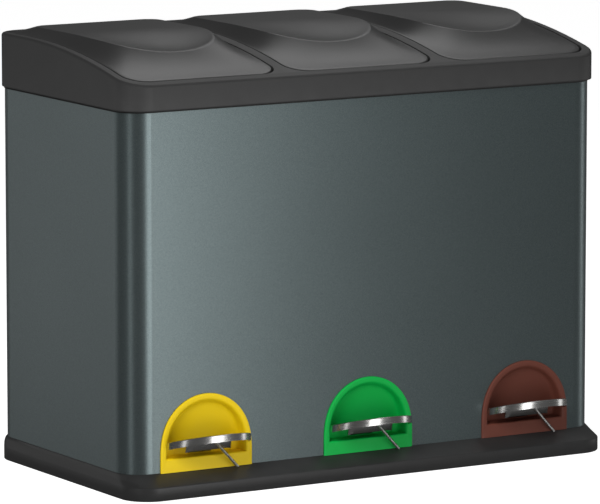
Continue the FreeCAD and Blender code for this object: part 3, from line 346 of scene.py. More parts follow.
class Groups:
    """Shader node groups that more than one finish uses, each built once."""

    @staticmethod
    def _build(name: str, inputs: dict[str, float], outputs: Sequence[str],
               fill: Callable[..., Sources]) -> bpy.types.NodeTree:
        """Finds a group, or makes it with its sockets and Object coordinates.

        Args:
            name: The group's name.
            inputs: Its inputs with their usual values.
            outputs: Its outputs.
            fill: Adds the nodes from the tree, the inputs and the coordinates, and gives the outputs' sources.

        Returns:
            The group.
        """
        if name in bpy.data.node_groups:
            return bpy.data.node_groups[name]
        tree = bpy.data.node_groups.new(name, "ShaderNodeTree")
        for label, value in inputs.items():
            tree.interface.new_socket(label, in_out="INPUT", socket_type="NodeSocketFloat").default_value = value
        for label in outputs:
            tree.interface.new_socket(label, in_out="OUTPUT", socket_type="NodeSocketFloat")
        given = tree.nodes.new("NodeGroupInput").outputs
        place = tree.nodes.new("ShaderNodeTexCoord").outputs["Object"]
        wire(tree, "NodeGroupOutput", dict(zip(outputs, fill(tree, given, place))))
        return tree

    @staticmethod
    def grain() -> bpy.types.NodeTree:
        """The eroded texture of a plastic moulding: a height and a slow drift in gloss."""
        def fill(tree: bpy.types.NodeTree, given: Sockets, place: bpy.types.NodeSocket) -> Sources:
            """Adds the group's nodes and gives the sources of its outputs."""
            cells = wire(tree, "ShaderNodeTexVoronoi", {"Vector": place, "Scale": given["Scale"]},
                         feature="SMOOTH_F1")
            cloud = wire(tree, "ShaderNodeTexNoise", {"Vector": place, "Scale": 9.0, "Detail": 4.0})
            centred = wire(tree, "ShaderNodeMath", {0: cloud.outputs["Fac"], 1: 0.5}, operation="SUBTRACT")
            spread = wire(tree, "ShaderNodeMath", {0: centred.outputs[0], 1: given["Drift"], 2: given["Gloss"]},
                          operation="MULTIPLY_ADD")
            return cells.outputs["Distance"], spread.outputs[0]

        return Groups._build("moulding_grain", {"Scale": 900.0, "Gloss": 0.45, "Drift": 0.06},
                             ("Height", "Roughness"), fill)

    @staticmethod
    def wear() -> bpy.types.NodeTree:
        """A mask that is bright on edges that hands and feet rub, broken up by noise."""
        def fill(tree: bpy.types.NodeTree, given: Sockets, place: bpy.types.NodeSocket) -> Sources:
            """Adds the group's nodes and gives the sources of its outputs."""
            shape = tree.nodes.new("ShaderNodeNewGeometry")
            edges = wire(tree, "ShaderNodeMapRange", {"Value": shape.outputs["Pointiness"],
                                                      "From Min": given["Start"], "From Max": 0.62})
            noise = wire(tree, "ShaderNodeTexNoise", {"Vector": place, "Scale": 60.0, "Detail": 5.0})
            broken = wire(tree, "ShaderNodeMath", {0: edges.outputs["Result"], 1: noise.outputs["Fac"]},
                          operation="MULTIPLY")
            scaled = wire(tree, "ShaderNodeMath", {0: broken.outputs[0], 1: given["Amount"]}, operation="MULTIPLY")
            return (scaled.outputs[0],)

        return Groups._build("edge_wear", {"Start": 0.53, "Amount": 0.5}, ("Mask",), fill)

    @staticmethod
    def lines() -> bpy.types.NodeTree:
        """Fine parallel lines of rolled or brushed metal, as a value round 0.5."""
        def fill(tree: bpy.types.NodeTree, given: Sockets, place: bpy.types.NodeSocket) -> Sources:
            """Adds the group's nodes and gives the sources of its outputs."""
            stretch = wire(tree, "ShaderNodeCombineXYZ", {axis: given[f"Along {axis}"] for axis in "XYZ"})
            scaled = wire(tree, "ShaderNodeVectorMath", {0: place, 1: stretch.outputs["Vector"]},
                          operation="MULTIPLY")
            noise = wire(tree, "ShaderNodeTexNoise",
                         {"Vector": scaled.outputs["Vector"], "Scale": 1.0, "Detail": 2.0})
            return (noise.outputs["Fac"],)

        return Groups._build("drawn_lines", {"Along X": 20.0, "Along Y": 900.0, "Along Z": 900.0}, ("Lines",), fill)

    @staticmethod
    def flakes() -> bpy.types.NodeTree:
        """The sparkle of a metallic lacquer: a brightness for each flake and a slow cloud."""
        def fill(tree: bpy.types.NodeTree, given: Sockets, place: bpy.types.NodeSocket) -> Sources:
            """Adds the group's nodes and gives the sources of its outputs."""
            cells = wire(tree, "ShaderNodeTexVoronoi", {"Vector": place, "Scale": given["Scale"]})
            grey = wire(tree, "ShaderNodeSeparateColor", {"Color": cells.outputs["Color"]})
            cloud = wire(tree, "ShaderNodeTexNoise", {"Vector": place, "Scale": 5.0})
            return grey.outputs["Red"], cloud.outputs["Fac"]

        return Groups._build("lacquer_flakes", {"Scale": 2600.0}, ("Flake", "Cloud"), fill)


class Finish:
    """A material that builds itself once."""

    name: str

    def material(self) -> bpy.types.Material:
        """The Blender material, built on first use."""
        found = bpy.data.materials.get(self.name)
        if found:
            return found
        made = bpy.data.materials.new(self.name)
        made.use_nodes = True
        self.fill(made.node_tree, made.node_tree.nodes["Principled BSDF"])
        return made

    def fill(self, tree: bpy.types.NodeTree, shader: bpy.types.Node) -> None:
        """Adds this finish's nodes and sets its shader.

        Args:
            tree: The material's node tree.
            shader: Its Principled BSDF.
        """
        raise NotImplementedError

    @staticmethod
    def group(tree: bpy.types.NodeTree, made: bpy.types.NodeTree, **values: float) -> bpy.types.Node:
        """Places a node group with its own values."""
        node = tree.nodes.new("ShaderNodeGroup")
        node.node_tree = made
        for label, value in values.items():
            node.inputs[label.replace("_", " ")].default_value = value
        return node

    @staticmethod
    def bump(tree: bpy.types.NodeTree, shader: bpy.types.Node, height: bpy.types.NodeSocket, strength: float,
             distance: float) -> None:
        """Feeds a height to the shader's normal.

        Args:
            tree: The material's node tree.
            shader: Its Principled BSDF.
            height: The socket that puts out the height.
            strength: The bump's strength.
            distance: The height that 1 stands for, in metres.
        """
        node = wire(tree, "ShaderNodeBump", {"Strength": strength, "Distance": distance, "Height": height})
        tree.links.new(node.outputs["Normal"], shader.inputs["Normal"])

    @staticmethod
    def mix(tree: bpy.types.NodeTree, mask: bpy.types.NodeSocket, low: Colour, high: Colour) -> bpy.types.NodeSocket:
        """A colour between two by a mask."""
        node = wire(tree, "ShaderNodeMix", {"Factor": mask, "A": (*low, 1), "B": (*high, 1)}, data_type="RGBA")
        return node.outputs["Result"]

    @staticmethod
    def gloss_range(tree: bpy.types.NodeTree, shader: bpy.types.Node, value: bpy.types.NodeSocket, low: float,
                    high: float) -> None:
        """Feeds a roughness between two by a value from 0 to 1."""
        node = wire(tree, "ShaderNodeMapRange", {"Value": value, "To Min": low, "To Max": high})
        tree.links.new(node.outputs["Result"], shader.inputs["Roughness"])


@dataclass(frozen=True)
class Moulding(Finish):
    """A plastic moulding with its grain, a slow drift in gloss and rubbed edges."""

    name: str
    colour: Colour
    rubbed: Colour
    gloss: float
    drift: float = 0.06
    grain_scale: float = 900.0
    grain_depth: float = 0.00004
    coat: float = 0.0
    shine: float = 0.5

    def fill(self, tree: bpy.types.NodeTree, shader: bpy.types.Node) -> None:
        """Adds grain, gloss drift and edge wear."""
        grain = self.group(tree, Groups.grain(), Scale=self.grain_scale, Gloss=self.gloss, Drift=self.drift)
        wear = self.group(tree, Groups.wear(), Start=0.52, Amount=0.6)
        tree.links.new(grain.outputs["Roughness"], shader.inputs["Roughness"])
        tree.links.new(self.mix(tree, wear.outputs["Mask"], self.colour, self.rubbed), shader.inputs["Base Color"])
        shader.inputs["Coat Weight"].default_value = self.coat
        shader.inputs["Coat Roughness"].default_value = 0.25
        shader.inputs["Specular IOR Level"].default_value = self.shine
        self.bump(tree, shader, grain.outputs["Height"], 0.6, self.grain_depth)


@dataclass(frozen=True)
class Lacquer(Finish):
    """Metallic lacquer over steel sheet: flakes, a faint rolling direction and a satin coat."""

    name: str
    colour: Colour
    bright: Colour
    roughness: float
    metallic: float
    coat: float
    drift: float = 0.03

    def fill(self, tree: bpy.types.NodeTree, shader: bpy.types.Node) -> None:
        """Adds flakes to the colour, clouds to the gloss and fine rolling lines to the surface."""
        flakes = self.group(tree, Groups.flakes())
        lines = self.group(tree, Groups.lines(), Along_X=1500.0, Along_Y=1500.0, Along_Z=12.0)
        tree.links.new(self.mix(tree, flakes.outputs["Flake"], self.colour, self.bright), shader.inputs["Base Color"])
        self.gloss_range(tree, shader, flakes.outputs["Cloud"], self.roughness - self.drift,
                         self.roughness + self.drift)
        shader.inputs["Metallic"].default_value = self.metallic
        shader.inputs["Coat Weight"].default_value = self.coat
        shader.inputs["Coat Roughness"].default_value = 0.3
        self.bump(tree, shader, lines.outputs["Lines"], 0.08, 0.00001)


@dataclass(frozen=True)
class BareMetal(Finish):
    """Polished, plated or drawn metal with its fine lines."""

    name: str
    colour: Colour
    dull: Colour
    roughness: float
    lines: tuple[float, float, float]
    depth: float = 0.00001

    def fill(self, tree: bpy.types.NodeTree, shader: bpy.types.Node) -> None:
        """Adds lines to the roughness and the surface, and tarnish to the colour."""
        x, y, z = self.lines
        lines = self.group(tree, Groups.lines(), Along_X=x, Along_Y=y, Along_Z=z)
        tarnish = self.group(tree, Groups.flakes(), Scale=40.0)
        tree.links.new(self.mix(tree, tarnish.outputs["Cloud"], self.colour, self.dull), shader.inputs["Base Color"])
        self.gloss_range(tree, shader, lines.outputs["Lines"], self.roughness * 0.7, self.roughness * 1.3)
        shader.inputs["Metallic"].default_value = 1.0
        self.bump(tree, shader, lines.outputs["Lines"], 0.3, self.depth)


class Palette:
    """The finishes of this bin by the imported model's material slot."""

    PEDALS: dict[Side, str] = {Side.LEFT: "yellow_plastic", Side.MIDDLE: "green_plastic",
                               Side.RIGHT: "brown_plastic"}
    FINISHES: dict[str, Finish] = {
        "lacquered_steel": Lacquer("slate_lacquer", (0.100, 0.128, 0.131), (0.165, 0.205, 0.208), 0.36, 0.85, 0.15),
        "black_plastic": Moulding("black_moulding", (0.022, 0.022, 0.022), (0.06, 0.06, 0.06), 0.44),
        "dark_plastic": Moulding("charcoal_moulding", (0.028, 0.028, 0.028), (0.07, 0.07, 0.07), 0.36),
        "yellow_plastic": Moulding("yellow_moulding", (0.88, 0.62, 0.006), (0.95, 0.75, 0.10), 0.48, shine=0.2),
        "green_plastic": Moulding("green_moulding", (0.002, 0.40, 0.060), (0.05, 0.55, 0.16), 0.48, shine=0.2),
        "brown_plastic": Moulding("brown_moulding", (0.130, 0.040, 0.027), (0.20, 0.09, 0.07), 0.48, shine=0.2),
        "bucket_plastic": Moulding("bucket_moulding", (0.018, 0.018, 0.018), (0.05, 0.05, 0.05), 0.50),
        "rubber": Moulding("foot_rubber", (0.012, 0.012, 0.012), (0.04, 0.04, 0.04), 0.75, grain_scale=500.0),
        "satin_steel": BareMetal("polished_steel", (0.62, 0.61, 0.59), (0.48, 0.48, 0.47), 0.25,
                                 (15.0, 15.0, 1500.0), 0.000002),
        "zinc_steel": BareMetal("zinc_plate", (0.55, 0.56, 0.58), (0.40, 0.41, 0.42), 0.35, (300.0, 60.0, 300.0)),
        "spring_steel": BareMetal("drawn_wire", (0.60, 0.59, 0.57), (0.40, 0.40, 0.39), 0.28, (900.0, 900.0, 900.0)),
    }

    FRAME = Moulding("frame_moulding", (0.031, 0.031, 0.031), (0.08, 0.08, 0.08), 0.54, shine=0.4)

    @classmethod
    def dress(cls, piece: bpy.types.Object, slot: str, finish: Finish | None = None) -> None:
        """Gives a piece the finish of a material slot.

        Args:
            piece: A CAD node's object or a new piece.
            slot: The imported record's material slot.
            finish: A finish to use in the slot's place.
        """
        material = (finish or cls.FINISHES[slot]).material()
        for index in range(len(piece.data.materials)):
            piece.data.materials[index] = material
        if not piece.data.materials:
            piece.data.materials.append(material)

    @classmethod
    def fit(cls, piece: bpy.types.Object, slot: str, node: str, body: str) -> None:
        """Dresses a piece that stands for a CAD node and fixes it to a body.

        Args:
            piece: The new piece.
            slot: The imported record's material slot.
            node: The CAD node that it stands for.
            body: The body that it rides on.
        """
        cls.dress(piece, slot)
        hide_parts(node)
        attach(piece, body)
        LOG.info("%s: %d faces", piece.name, len(piece.data.polygons))


# ---- the lids -------------------------------------------------------------------------------------------

@dataclass(frozen=True)
class Crown:
    """The side view of the bin's top: level at the back, then one arc that falls to the front."""

    level: float = 0.462
    turn: float = 0.098
    radius: float = 0.8862

    def height(self, y: float) -> float:
        """Height of the crown at a place from front to back."""
        reach = max(0.0, self.turn - y)
        return self.level - self.radius + math.sqrt(self.radius ** 2 - reach ** 2)


@dataclass
class Lids:
    """Three moulded lids, each a raised tongue with a dished top and a concave apron around it."""

    crown: Crown
    half_width: float = 0.08907
    corner: float = 0.024
    skirt: float = 0.008
    wall: float = 0.0024
    tongue_half: float = 0.075
    tongue_back: float = 0.123
    tongue_turn: float = 0.028
    tongue_corner: float = 0.016
    fullness: tuple[float, float] = (2.4, 2.25)
    tongue_front: float = -0.062
    tongue_top: float = 0.470
    nose_top: float = 0.4565
    barrel: float = 0.005
    bore: float = 0.0021
    counts: tuple[int, int, int] = (8, 22, 34)
    apron_steps: tuple[float, ...] = (0.0, 0.08, 0.17, 0.27, 0.38, 0.49, 0.60, 0.70, 0.79, 0.87, 0.93, 0.97, 0.99, 1.0)
    dish_steps: tuple[float, ...] = (0.012, 0.03, 0.06, 0.11, 0.18, 0.27, 0.37, 0.48, 0.60, 0.73, 0.86, 1.0)
    dish_start: float = 0.045

    def build(self) -> None:
        """Models the middle lid, then copies it to both sides."""
        low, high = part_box("lid_middle")
        self.front = low.y
        self.hinge = high.y - self.barrel
        shell = self._shell()
        barrel = self._barrel()
        first = Bench.join("lid_cover_middle", [shell, barrel])
        for side in Side:
            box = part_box(f"lid_{side.word}")
            shift = Vector(((box[0].x + box[1].x) / 2, 0, 0))
            piece = first if side is Side.MIDDLE else Bench.copy(first, f"lid_cover_{side.word}", shift)
            horn = self._horn(side)
            piece = Bench.join(f"lid_cover_{side.word}", [piece, horn])
            Bench.smooth(piece, 40)
            Palette.fit(piece, "dark_plastic", f"lid_{side.word}", f"lid_group_{side.word}")

    def _outline(self, inset: float) -> list[tuple[float, float]]:
        """Half of the lid's outline, from the middle of the back to the middle of the front."""
        back, side, nose = self.counts
        width, front, rear = self.half_width - inset, self.front + inset, self.hinge - inset
        radius = self.corner - inset
        made = [(-width * k / back, rear) for k in range(back)]
        made += [(-width, rear + (self.tongue_turn - rear) * k / side) for k in range(side)]
        straight = self.tongue_turn - (front + radius)
        bend = math.pi / 2 * radius
        across = width - radius
        whole = straight + bend + across
        for k in range(nose + 1):
            run = whole * k / nose
            if run <= straight:
                made.append((-width, self.tongue_turn - run))
            elif run <= straight + bend:
                turn = (run - straight) / radius
                made.append((-width + radius - radius * math.cos(turn), front + radius - radius * math.sin(turn)))
            else:
                made.append((-across + (run - straight - bend), front))
        return made

    def _rim(self) -> list[tuple[float, float]]:
        """Half of the tongue's rim, point for point with the outline."""
        back, side, nose = self.counts
        half, rear, radius = self.tongue_half, self.tongue_back, self.tongue_corner
        bend = math.pi / 2 * radius
        flat, upright = half - radius, rear - radius - self.tongue_turn
        runs = [(flat + bend / 2) * k / back for k in range(back)]
        runs += [flat + bend / 2 + (bend / 2 + upright) * k / side for k in range(side)]
        made = []
        for run in runs:
            if run <= flat:
                made.append((-run, rear))
            elif run <= flat + bend:
                turn = (run - flat) / radius
                made.append((-flat - radius * math.sin(turn), rear - radius + radius * math.cos(turn)))
            else:
                made.append((-half, rear - radius - (run - flat - bend)))
        reach = self.tongue_turn - self.tongue_front
        across, along = self.fullness
        for k in range(nose + 1):
            turn = math.pi / 2 * k / nose
            made.append((-half * abs(math.cos(turn)) ** (2 / across),
                         self.tongue_turn - reach * math.sin(turn) ** (2 / along)))
        return made

    def _share(self, y: float) -> float:
        """How far a place is along the tongue's nose, from 0 where it starts to 1 at its tip."""
        return min(1.0, max(0.0, (self.tongue_turn - y) / (self.tongue_turn - self.tongue_front)))

    def _rim_height(self, y: float) -> float:
        """Height of the rim: level along the sides and falling round the nose."""
        share = self._share(y)
        soft = 0.10
        rise = ((1 - share * share + soft) ** 0.65 - soft ** 0.65) / ((1 + soft) ** 0.65 - soft ** 0.65)
        return self.nose_top + (self.tongue_top - self.nose_top) * rise

    def _top(self, x: float, y: float) -> float:
        """Height of the dished top inside the rim."""
        across, along = self.fullness
        half = max(1e-4, self.tongue_half * max(0.0, 1 - self._share(y) ** along) ** (1 / across))
        fall = min(1.0, max(0.0, (self.dish_start - y) / (self.dish_start - self.tongue_front)))
        spine = self.tongue_top - (self.tongue_top - self.nose_top) * fall * fall * (3 - 2 * fall)
        return spine + (self._rim_height(y) - spine) * min(1.0, abs(x) / half) ** 2

    @staticmethod
    def _whole(half: Sequence[Vector]) -> Loop:
        """A closed section from its left half, which starts and ends on the middle line."""
        mirrored = [Vector((-p.x, p.y, p.z)) for p in reversed(half[1:-1])]
        return list(half) + mirrored

    def _shell(self) -> bpy.types.Object:
        """The lid's moulded shell with its skirt."""
        loops = []
        edge = [(0.0, -self.skirt), (0.0, -0.0014), (0.0003, -0.0005), (0.0009, -0.0001)]
        for inset, drop in edge:
            loops.append(self._whole([Vector((x, y, self.crown.height(y) + drop)) for x, y in self._outline(inset)]))
        outline, rim = self._outline(0.0014), self._rim()
        last = len(outline) - 1
        for share in self.apron_steps:
            section = []
            for index, ((x0, y0), (x1, y1)) in enumerate(zip(outline, rim)):
                x, y = x0 + (x1 - x0) * share, y0 + (y1 - y0) * share
                start, end = self.crown.height(y0), self._rim_height(y1)
                frontness = max(0.0, (index - sum(self.counts[:2])) / (last - sum(self.counts[:2])))
                bend = 0.30 + 0.15 * frontness
                level = start + (end - start) * ((1 - bend) * share + bend * share ** 2.2)
                if share == 1.0:
                    level -= 0.0003
                section.append(Vector((x, y, level)))
            loops.append(self._whole(section))
        back = self.tongue_back - self.tongue_half
        for share in self.dish_steps:
            section = []
            for x, y in rim:
                centre = min(back, max(self.tongue_turn, y))
                px, py = x * (1 - share), y + (centre - y) * share
                section.append(Vector((px, py, self._top(px, py))))
            loops.append(self._whole(section))
        shell = Bench.skin("lid_shell", loops)
        Bench.face(shell, Vector((0, 0, 1)))
        Bench.modify(shell, "SOLIDIFY", thickness=self.wall, offset=-1.0, use_even_offset=False)
        return shell

    def _barrel(self) -> bpy.types.Object:
        """The hinge barrel along the lid's back edge."""
        low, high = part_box("lid_middle")
        level = self.crown.level - self.barrel
        sections = [(low.x, self.bore), (low.x, self.barrel - 0.0005), (low.x + 0.0005, self.barrel),
                    (high.x - 0.0005, self.barrel), (high.x, self.barrel - 0.0005), (high.x, self.bore),
                    (low.x, self.bore)]
        turns = [2 * math.pi * k / 32 for k in range(32)]
        loops = [[Vector((x, self.hinge + radius * math.cos(a), level + radius * math.sin(a))) for a in turns]
                 for x, radius in sections]
        return Bench.skin("lid_barrel", loops)

    def _horn(self, side: Side) -> bpy.types.Object:
        """The arm under the hinge that the lift rod pushes."""
        rod_low, rod_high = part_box(f"lift_rod_{side.word}")
        x = (rod_low.x + rod_high.x) / 2
        reach, droop, nose, half = 0.0192, math.radians(38.5), 0.004, 0.004
        axis = Vector((0, self.hinge, self.crown.level - self.barrel))
        tip = axis + Vector((0, -reach * math.cos(droop), -reach * math.sin(droop)))
        outward = Vector((0, -math.cos(droop), -math.sin(droop)))
        across = Vector((0, -outward.z, outward.y))
        section = [axis + across * 0.002, axis - across * 0.002]
        turns = [math.radians(-90 + 180 * k / 12) for k in range(13)]
        section += [tip + outward * (nose * math.cos(a)) + across * (nose * math.sin(a)) for a in turns]
        left = [Vector((x - half, p.y, p.z)) for p in section]
        right = [Vector((x + half, p.y, p.z)) for p in section]
        return Bench.skin(f"lid_horn_{side.word}", [left, right], cap_first=True, cap_last=True)


# ---- the pedals -----------------------------------------------------------------------------------------

@dataclass(frozen=True)
class Arch:
    """The arched outline of a pedal housing, seen from the front, as a foot, upright sides and three arcs."""

    half: float
    foot: float
    straight: float
    top: float
    side_radius: float
    steps: tuple[int, int, int, int] = (12, 6, 14, 16)

    def right_half(self) -> list[tuple[float, float]]:
        """Points from the middle of the foot up the right side to the top."""
        under, upright, side, crown = self.steps
        lean, gap = self.side_radius - self.half, self.side_radius - self.top
        centre = (lean ** 2 + self.straight ** 2 - gap ** 2) / (2 * (self.straight + gap))
        turn = math.atan2(centre - self.straight, lean)
        radius = self.top - centre
        made = [(self.half * k / under, self.foot) for k in range(under)]
        made += [(self.half, self.foot + (self.straight - self.foot) * k / upright) for k in range(upright)]
        made += [(-lean + self.side_radius * math.cos(turn * k / side),
                  self.straight + self.side_radius * math.sin(turn * k / side)) for k in range(side)]
        for k in range(crown + 1):
            a = turn + (math.pi / 2 - turn) * k / crown
            made.append((radius * math.cos(a), centre + radius * math.sin(a)))
        return made

    def points(self) -> list[tuple[float, float]]:
        """The whole outline, anticlockwise from the middle of the foot."""
        right = self.right_half()
        return right + [(-x, z) for x, z in reversed(right[1:-1])]


@dataclass
class Housings:
    """Three coloured pedal housings with a soft flange and a recess that deepens towards its foot."""

    wall: float = 0.0019
    rim: float = 0.0072
    floor: float = 0.0145
    shallow: float = 0.004
    deep: float = 0.016
    slot_half: float = 0.0139
    slot_low: float = 0.0156
    slot_high: float = 0.0285
    straight: float = 0.0185
    side_radius: float = 0.085

    def build(self) -> None:
        """Models one housing and copies it to the other pedals."""
        low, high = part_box("pedal_housing_middle")
        self.face, self.low, self.top, self.half = low.y, low.z, high.z, high.x
        first = self._housing()
        for side in Side:
            left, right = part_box(f"pedal_housing_{side.word}")
            name = f"housing_cover_{side.word}"
            shift = Vector(((left.x + right.x) / 2, 0, 0))
            piece = first if side is Side.MIDDLE else Bench.copy(first, name, shift)
            Palette.fit(piece, Palette.PEDALS[side], f"pedal_housing_{side.word}", "housing_group")

    def _arch(self, inset: float, foot: float) -> list[tuple[float, float]]:
        """The outline drawn in from the outer one."""
        return Arch(self.half - inset, foot, self.low + self.straight, self.top - inset,
                    self.side_radius - inset).points()

    def _depth(self, z: float) -> float:
        """Depth of the recess's back wall behind the face at a height."""
        foot, head = self.low + self.floor, self.top - self.rim
        share = min(1.0, max(0.0, (head - z) / (head - foot)))
        return self.shallow + (self.deep - self.shallow) * share

    def _housing(self) -> bpy.types.Object:
        """The housing as one moulding of even thickness."""
        loops = []
        for inset, back in ((0.0, 0.0020), (0.0, 0.0012), (0.0003, 0.0005), (0.0009, 0.0001), (0.0016, 0.0)):
            loops.append([Vector((x, self.face + back, z)) for x, z in self._arch(inset, self.low)])
        for inset, back, under in ((0.0045, 0.0, 0.0020), (0.0055, 0.00015, 0.0011), (0.0064, 0.0006, 0.0004),
                                   (0.0072, 0.0014, 0.0)):
            foot = self.low + self.floor - under
            loops.append([Vector((x, self.face + back, z)) for x, z in self._arch(inset, foot)])
        for inset, share in ((0.0079, 0.22), (0.0085, 0.45), (0.0092, 0.70), (0.0101, 0.88), (0.0116, 0.97),
                             (0.0140, 1.0), (0.0180, 1.0)):
            section = []
            for x, z in self._arch(inset, self.low + self.floor + 0.08 * (inset - self.rim)):
                back = 0.0014 + (self._depth(z) - 0.0014) * share
                section.append(Vector((x, self.face + back, z)))
            loops.append(section)
        mouth = self._slot()
        loops.append([Vector((x, self.face + self._depth(z), z)) for x, z in mouth])
        loops.append([Vector((x, self.face + self._depth(z) + 0.0015, z)) for x, z in mouth])
        piece = Bench.skin("housing_cover_middle", loops)
        Bench.face(piece, Vector((0, -1, 0)))
        Bench.modify(piece, "SOLIDIFY", thickness=self.wall, offset=-1.0)
        Bench.smooth(piece, 50)
        return piece

    def _slot(self) -> list[tuple[float, float]]:
        """The lever's slot, point for point with the arch."""
        under, upright, side, crown = Arch.steps
        low, high = self.low + self.slot_low, self.low + self.slot_high
        rise = upright + side
        right = [(self.slot_half * k / under, low) for k in range(under)]
        right += [(self.slot_half, low + (high - low) * k / rise) for k in range(rise)]
        right += [(self.slot_half * (1 - k / crown), high) for k in range(crown + 1)]
        return right + [(-x, z) for x, z in reversed(right[1:-1])]


@dataclass
class Treads:
    """Three polished steel treads: a tilted plate with a turned-down band round its front."""

    half: float = 0.0485
    reach: float = 0.0367
    clear: float = 0.0017
    tail_half: float = 0.043
    tail: float = 0.0117
    height: float = 0.057
    tilt: float = math.tan(math.radians(16))
    band: float = 0.0078
    sheet: float = 0.0013
    power: tuple[float, float] = (2.2, 1.8)
    steps: int = 64
    channel_half: float = 0.027
    channel_back: float = 0.0016
    channel_front: float = 0.0085
    channel_deep: float = 0.0130
    channel_sheet: float = 0.0012
    channel_corner: float = 0.006

    def build(self) -> None:
        """Models one tread and copies it to the other pedals."""
        housing_low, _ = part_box("pedal_housing_middle")
        self.face = housing_low.y
        first = self._tread()
        for side in Side:
            left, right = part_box(f"pedal_tread_{side.word}")
            shift = Vector(((left.x + right.x) / 2, 0, 0))
            piece = first if side is Side.MIDDLE else Bench.copy(first, f"tread_cover_{side.word}", shift)
            Palette.fit(piece, "satin_steel", f"pedal_tread_{side.word}", f"pedal_group_{side.word}")

    def _plan(self) -> list[tuple[float, float]]:
        """The plate's outline as distances to the right and out of the housing's face."""
        first, second = self.power
        front = []
        for k in range(self.steps + 1):
            a = math.pi * k / self.steps
            u = self.half * math.copysign(abs(math.cos(a)) ** (2 / first), math.cos(a))
            front.append((u, self.clear + (self.reach - self.clear) * abs(math.sin(a)) ** (2 / second)))
        tail = [(-self.tail_half, self.clear), (-self.tail_half, -self.tail), (self.tail_half, -self.tail),
                (self.tail_half, self.clear)]
        return front + tail

    @staticmethod
    def _inset(plan: Sequence[tuple[float, float]], by: float) -> list[tuple[float, float]]:
        """The outline drawn in square to itself."""
        made = []
        for index, (u, v) in enumerate(plan):
            (u0, v0), (u1, v1) = plan[index - 1], plan[(index + 1) % len(plan)]
            along = Vector((u1 - u0, v1 - v0)).normalized()
            made.append((u - along.y * by, v + along.x * by))
        return made

    def _tread(self) -> bpy.types.Object:
        """Plate, band and the channel under the plate."""
        plan = self._plan()

        def section(inset: float, drop: Callable[[float], float]) -> Loop:
            made = []
            for (u, v), (u0, v0) in zip(self._inset(plan, inset), plan):
                made.append(Vector((u, self.face - v, self.height + v * self.tilt - drop(v0))))
            return made

        def hang(v: float) -> float:
            return self.band if v > self.clear else self.sheet

        loops = [section(0, hang), section(0, lambda v: 0.0011), section(0.0002, lambda v: 0.0005),
                 section(0.0005, lambda v: 0.0002), section(0.0011, lambda v: 0.0), section(0.0022, lambda v: 0.0)]
        plate = Bench.skin("tread_plate", loops, cap_last=True)
        Bench.face(plate, Vector((0, 0, 1)))
        Bench.modify(plate, "SOLIDIFY", thickness=self.sheet, offset=-1.0)
        piece = Bench.join("tread_cover_middle", [plate, self._channel()])
        Bench.smooth(piece, 40)
        return piece

    def _channel(self) -> bpy.types.Object:
        """The stiffening channel under the plate, seen below the band."""
        half, back, front = self.channel_half, self.channel_back, self.channel_front
        deep, corner = self.channel_deep, self.channel_corner
        plan = [(half, back)]
        plan += [(half - corner + corner * math.cos(a), front - corner + corner * math.sin(a))
                 for a in (math.radians(90 * k / 8) for k in range(9))]
        plan += [(-u, v) for u, v in reversed(plan)]
        loops = []
        for drop, slant in ((self.sheet + 0.0002, 0.0), (deep - 0.0006, 0.0042), (deep, 0.0048)):
            loops.append([Vector((u, self.face - back - (v - back) * (1 - slant / (front - back)),
                                  self.height + v * self.tilt - drop)) for u, v in plan])
        channel = Bench.skin("tread_channel", loops, closed=False)
        Bench.modify(channel, "SOLIDIFY", thickness=self.channel_sheet, offset=0.0)
        return channel


@dataclass
class Springs:
    """The slender wound springs between the base's lip and the pedals."""

    outer: float = 0.0016
    wire: float = 0.00042
    pitch: float = 0.00105

    def build(self) -> None:
        """Winds a spring along each slanting CAD spring."""
        for side in Side:
            low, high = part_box(f"pedal_spring_{side.word}")
            foot = Vector((high.x - self.outer, high.y - self.outer, low.z + self.outer))
            head = Vector((low.x + self.outer, low.y + self.outer, high.z - self.outer))
            piece = self._wind(f"spring_cover_{side.word}", foot, head)
            Palette.dress(piece, "spring_steel")
            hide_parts(f"pedal_spring_{side.word}")
            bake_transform(piece)
            LOG.info("spring %s: %d faces", side.word, len(piece.data.polygons))

    def _wind(self, name: str, foot: Vector, head: Vector) -> bpy.types.Object:
        """A close coil laid from the foot to the head."""
        Bench.clear()
        turns = int((head - foot).length / self.pitch)
        bpy.ops.mesh.primitive_circle_add(vertices=6, radius=self.wire, location=(self.outer - self.wire, 0, 0),
                                          rotation=(math.pi / 2, 0, 0))
        piece = bpy.context.object
        piece.name = piece.data.name = name
        bpy.ops.object.transform_apply(location=True, rotation=True, scale=True)
        Bench.modify(piece, "SCREW", axis="Z", screw_offset=self.pitch, iterations=turns, steps=12,
                     render_steps=12, use_normal_calculate=True)
        Bench.take(piece)
        piece.rotation_euler = (head - foot).to_track_quat("Z", "Y").to_euler()
        piece.location = foot
        bpy.ops.object.transform_apply(location=True, rotation=True, scale=True)
        Bench.smooth(piece, 60)
        return piece


# ---- the edges of base and frame ------------------------------------------------------------------------

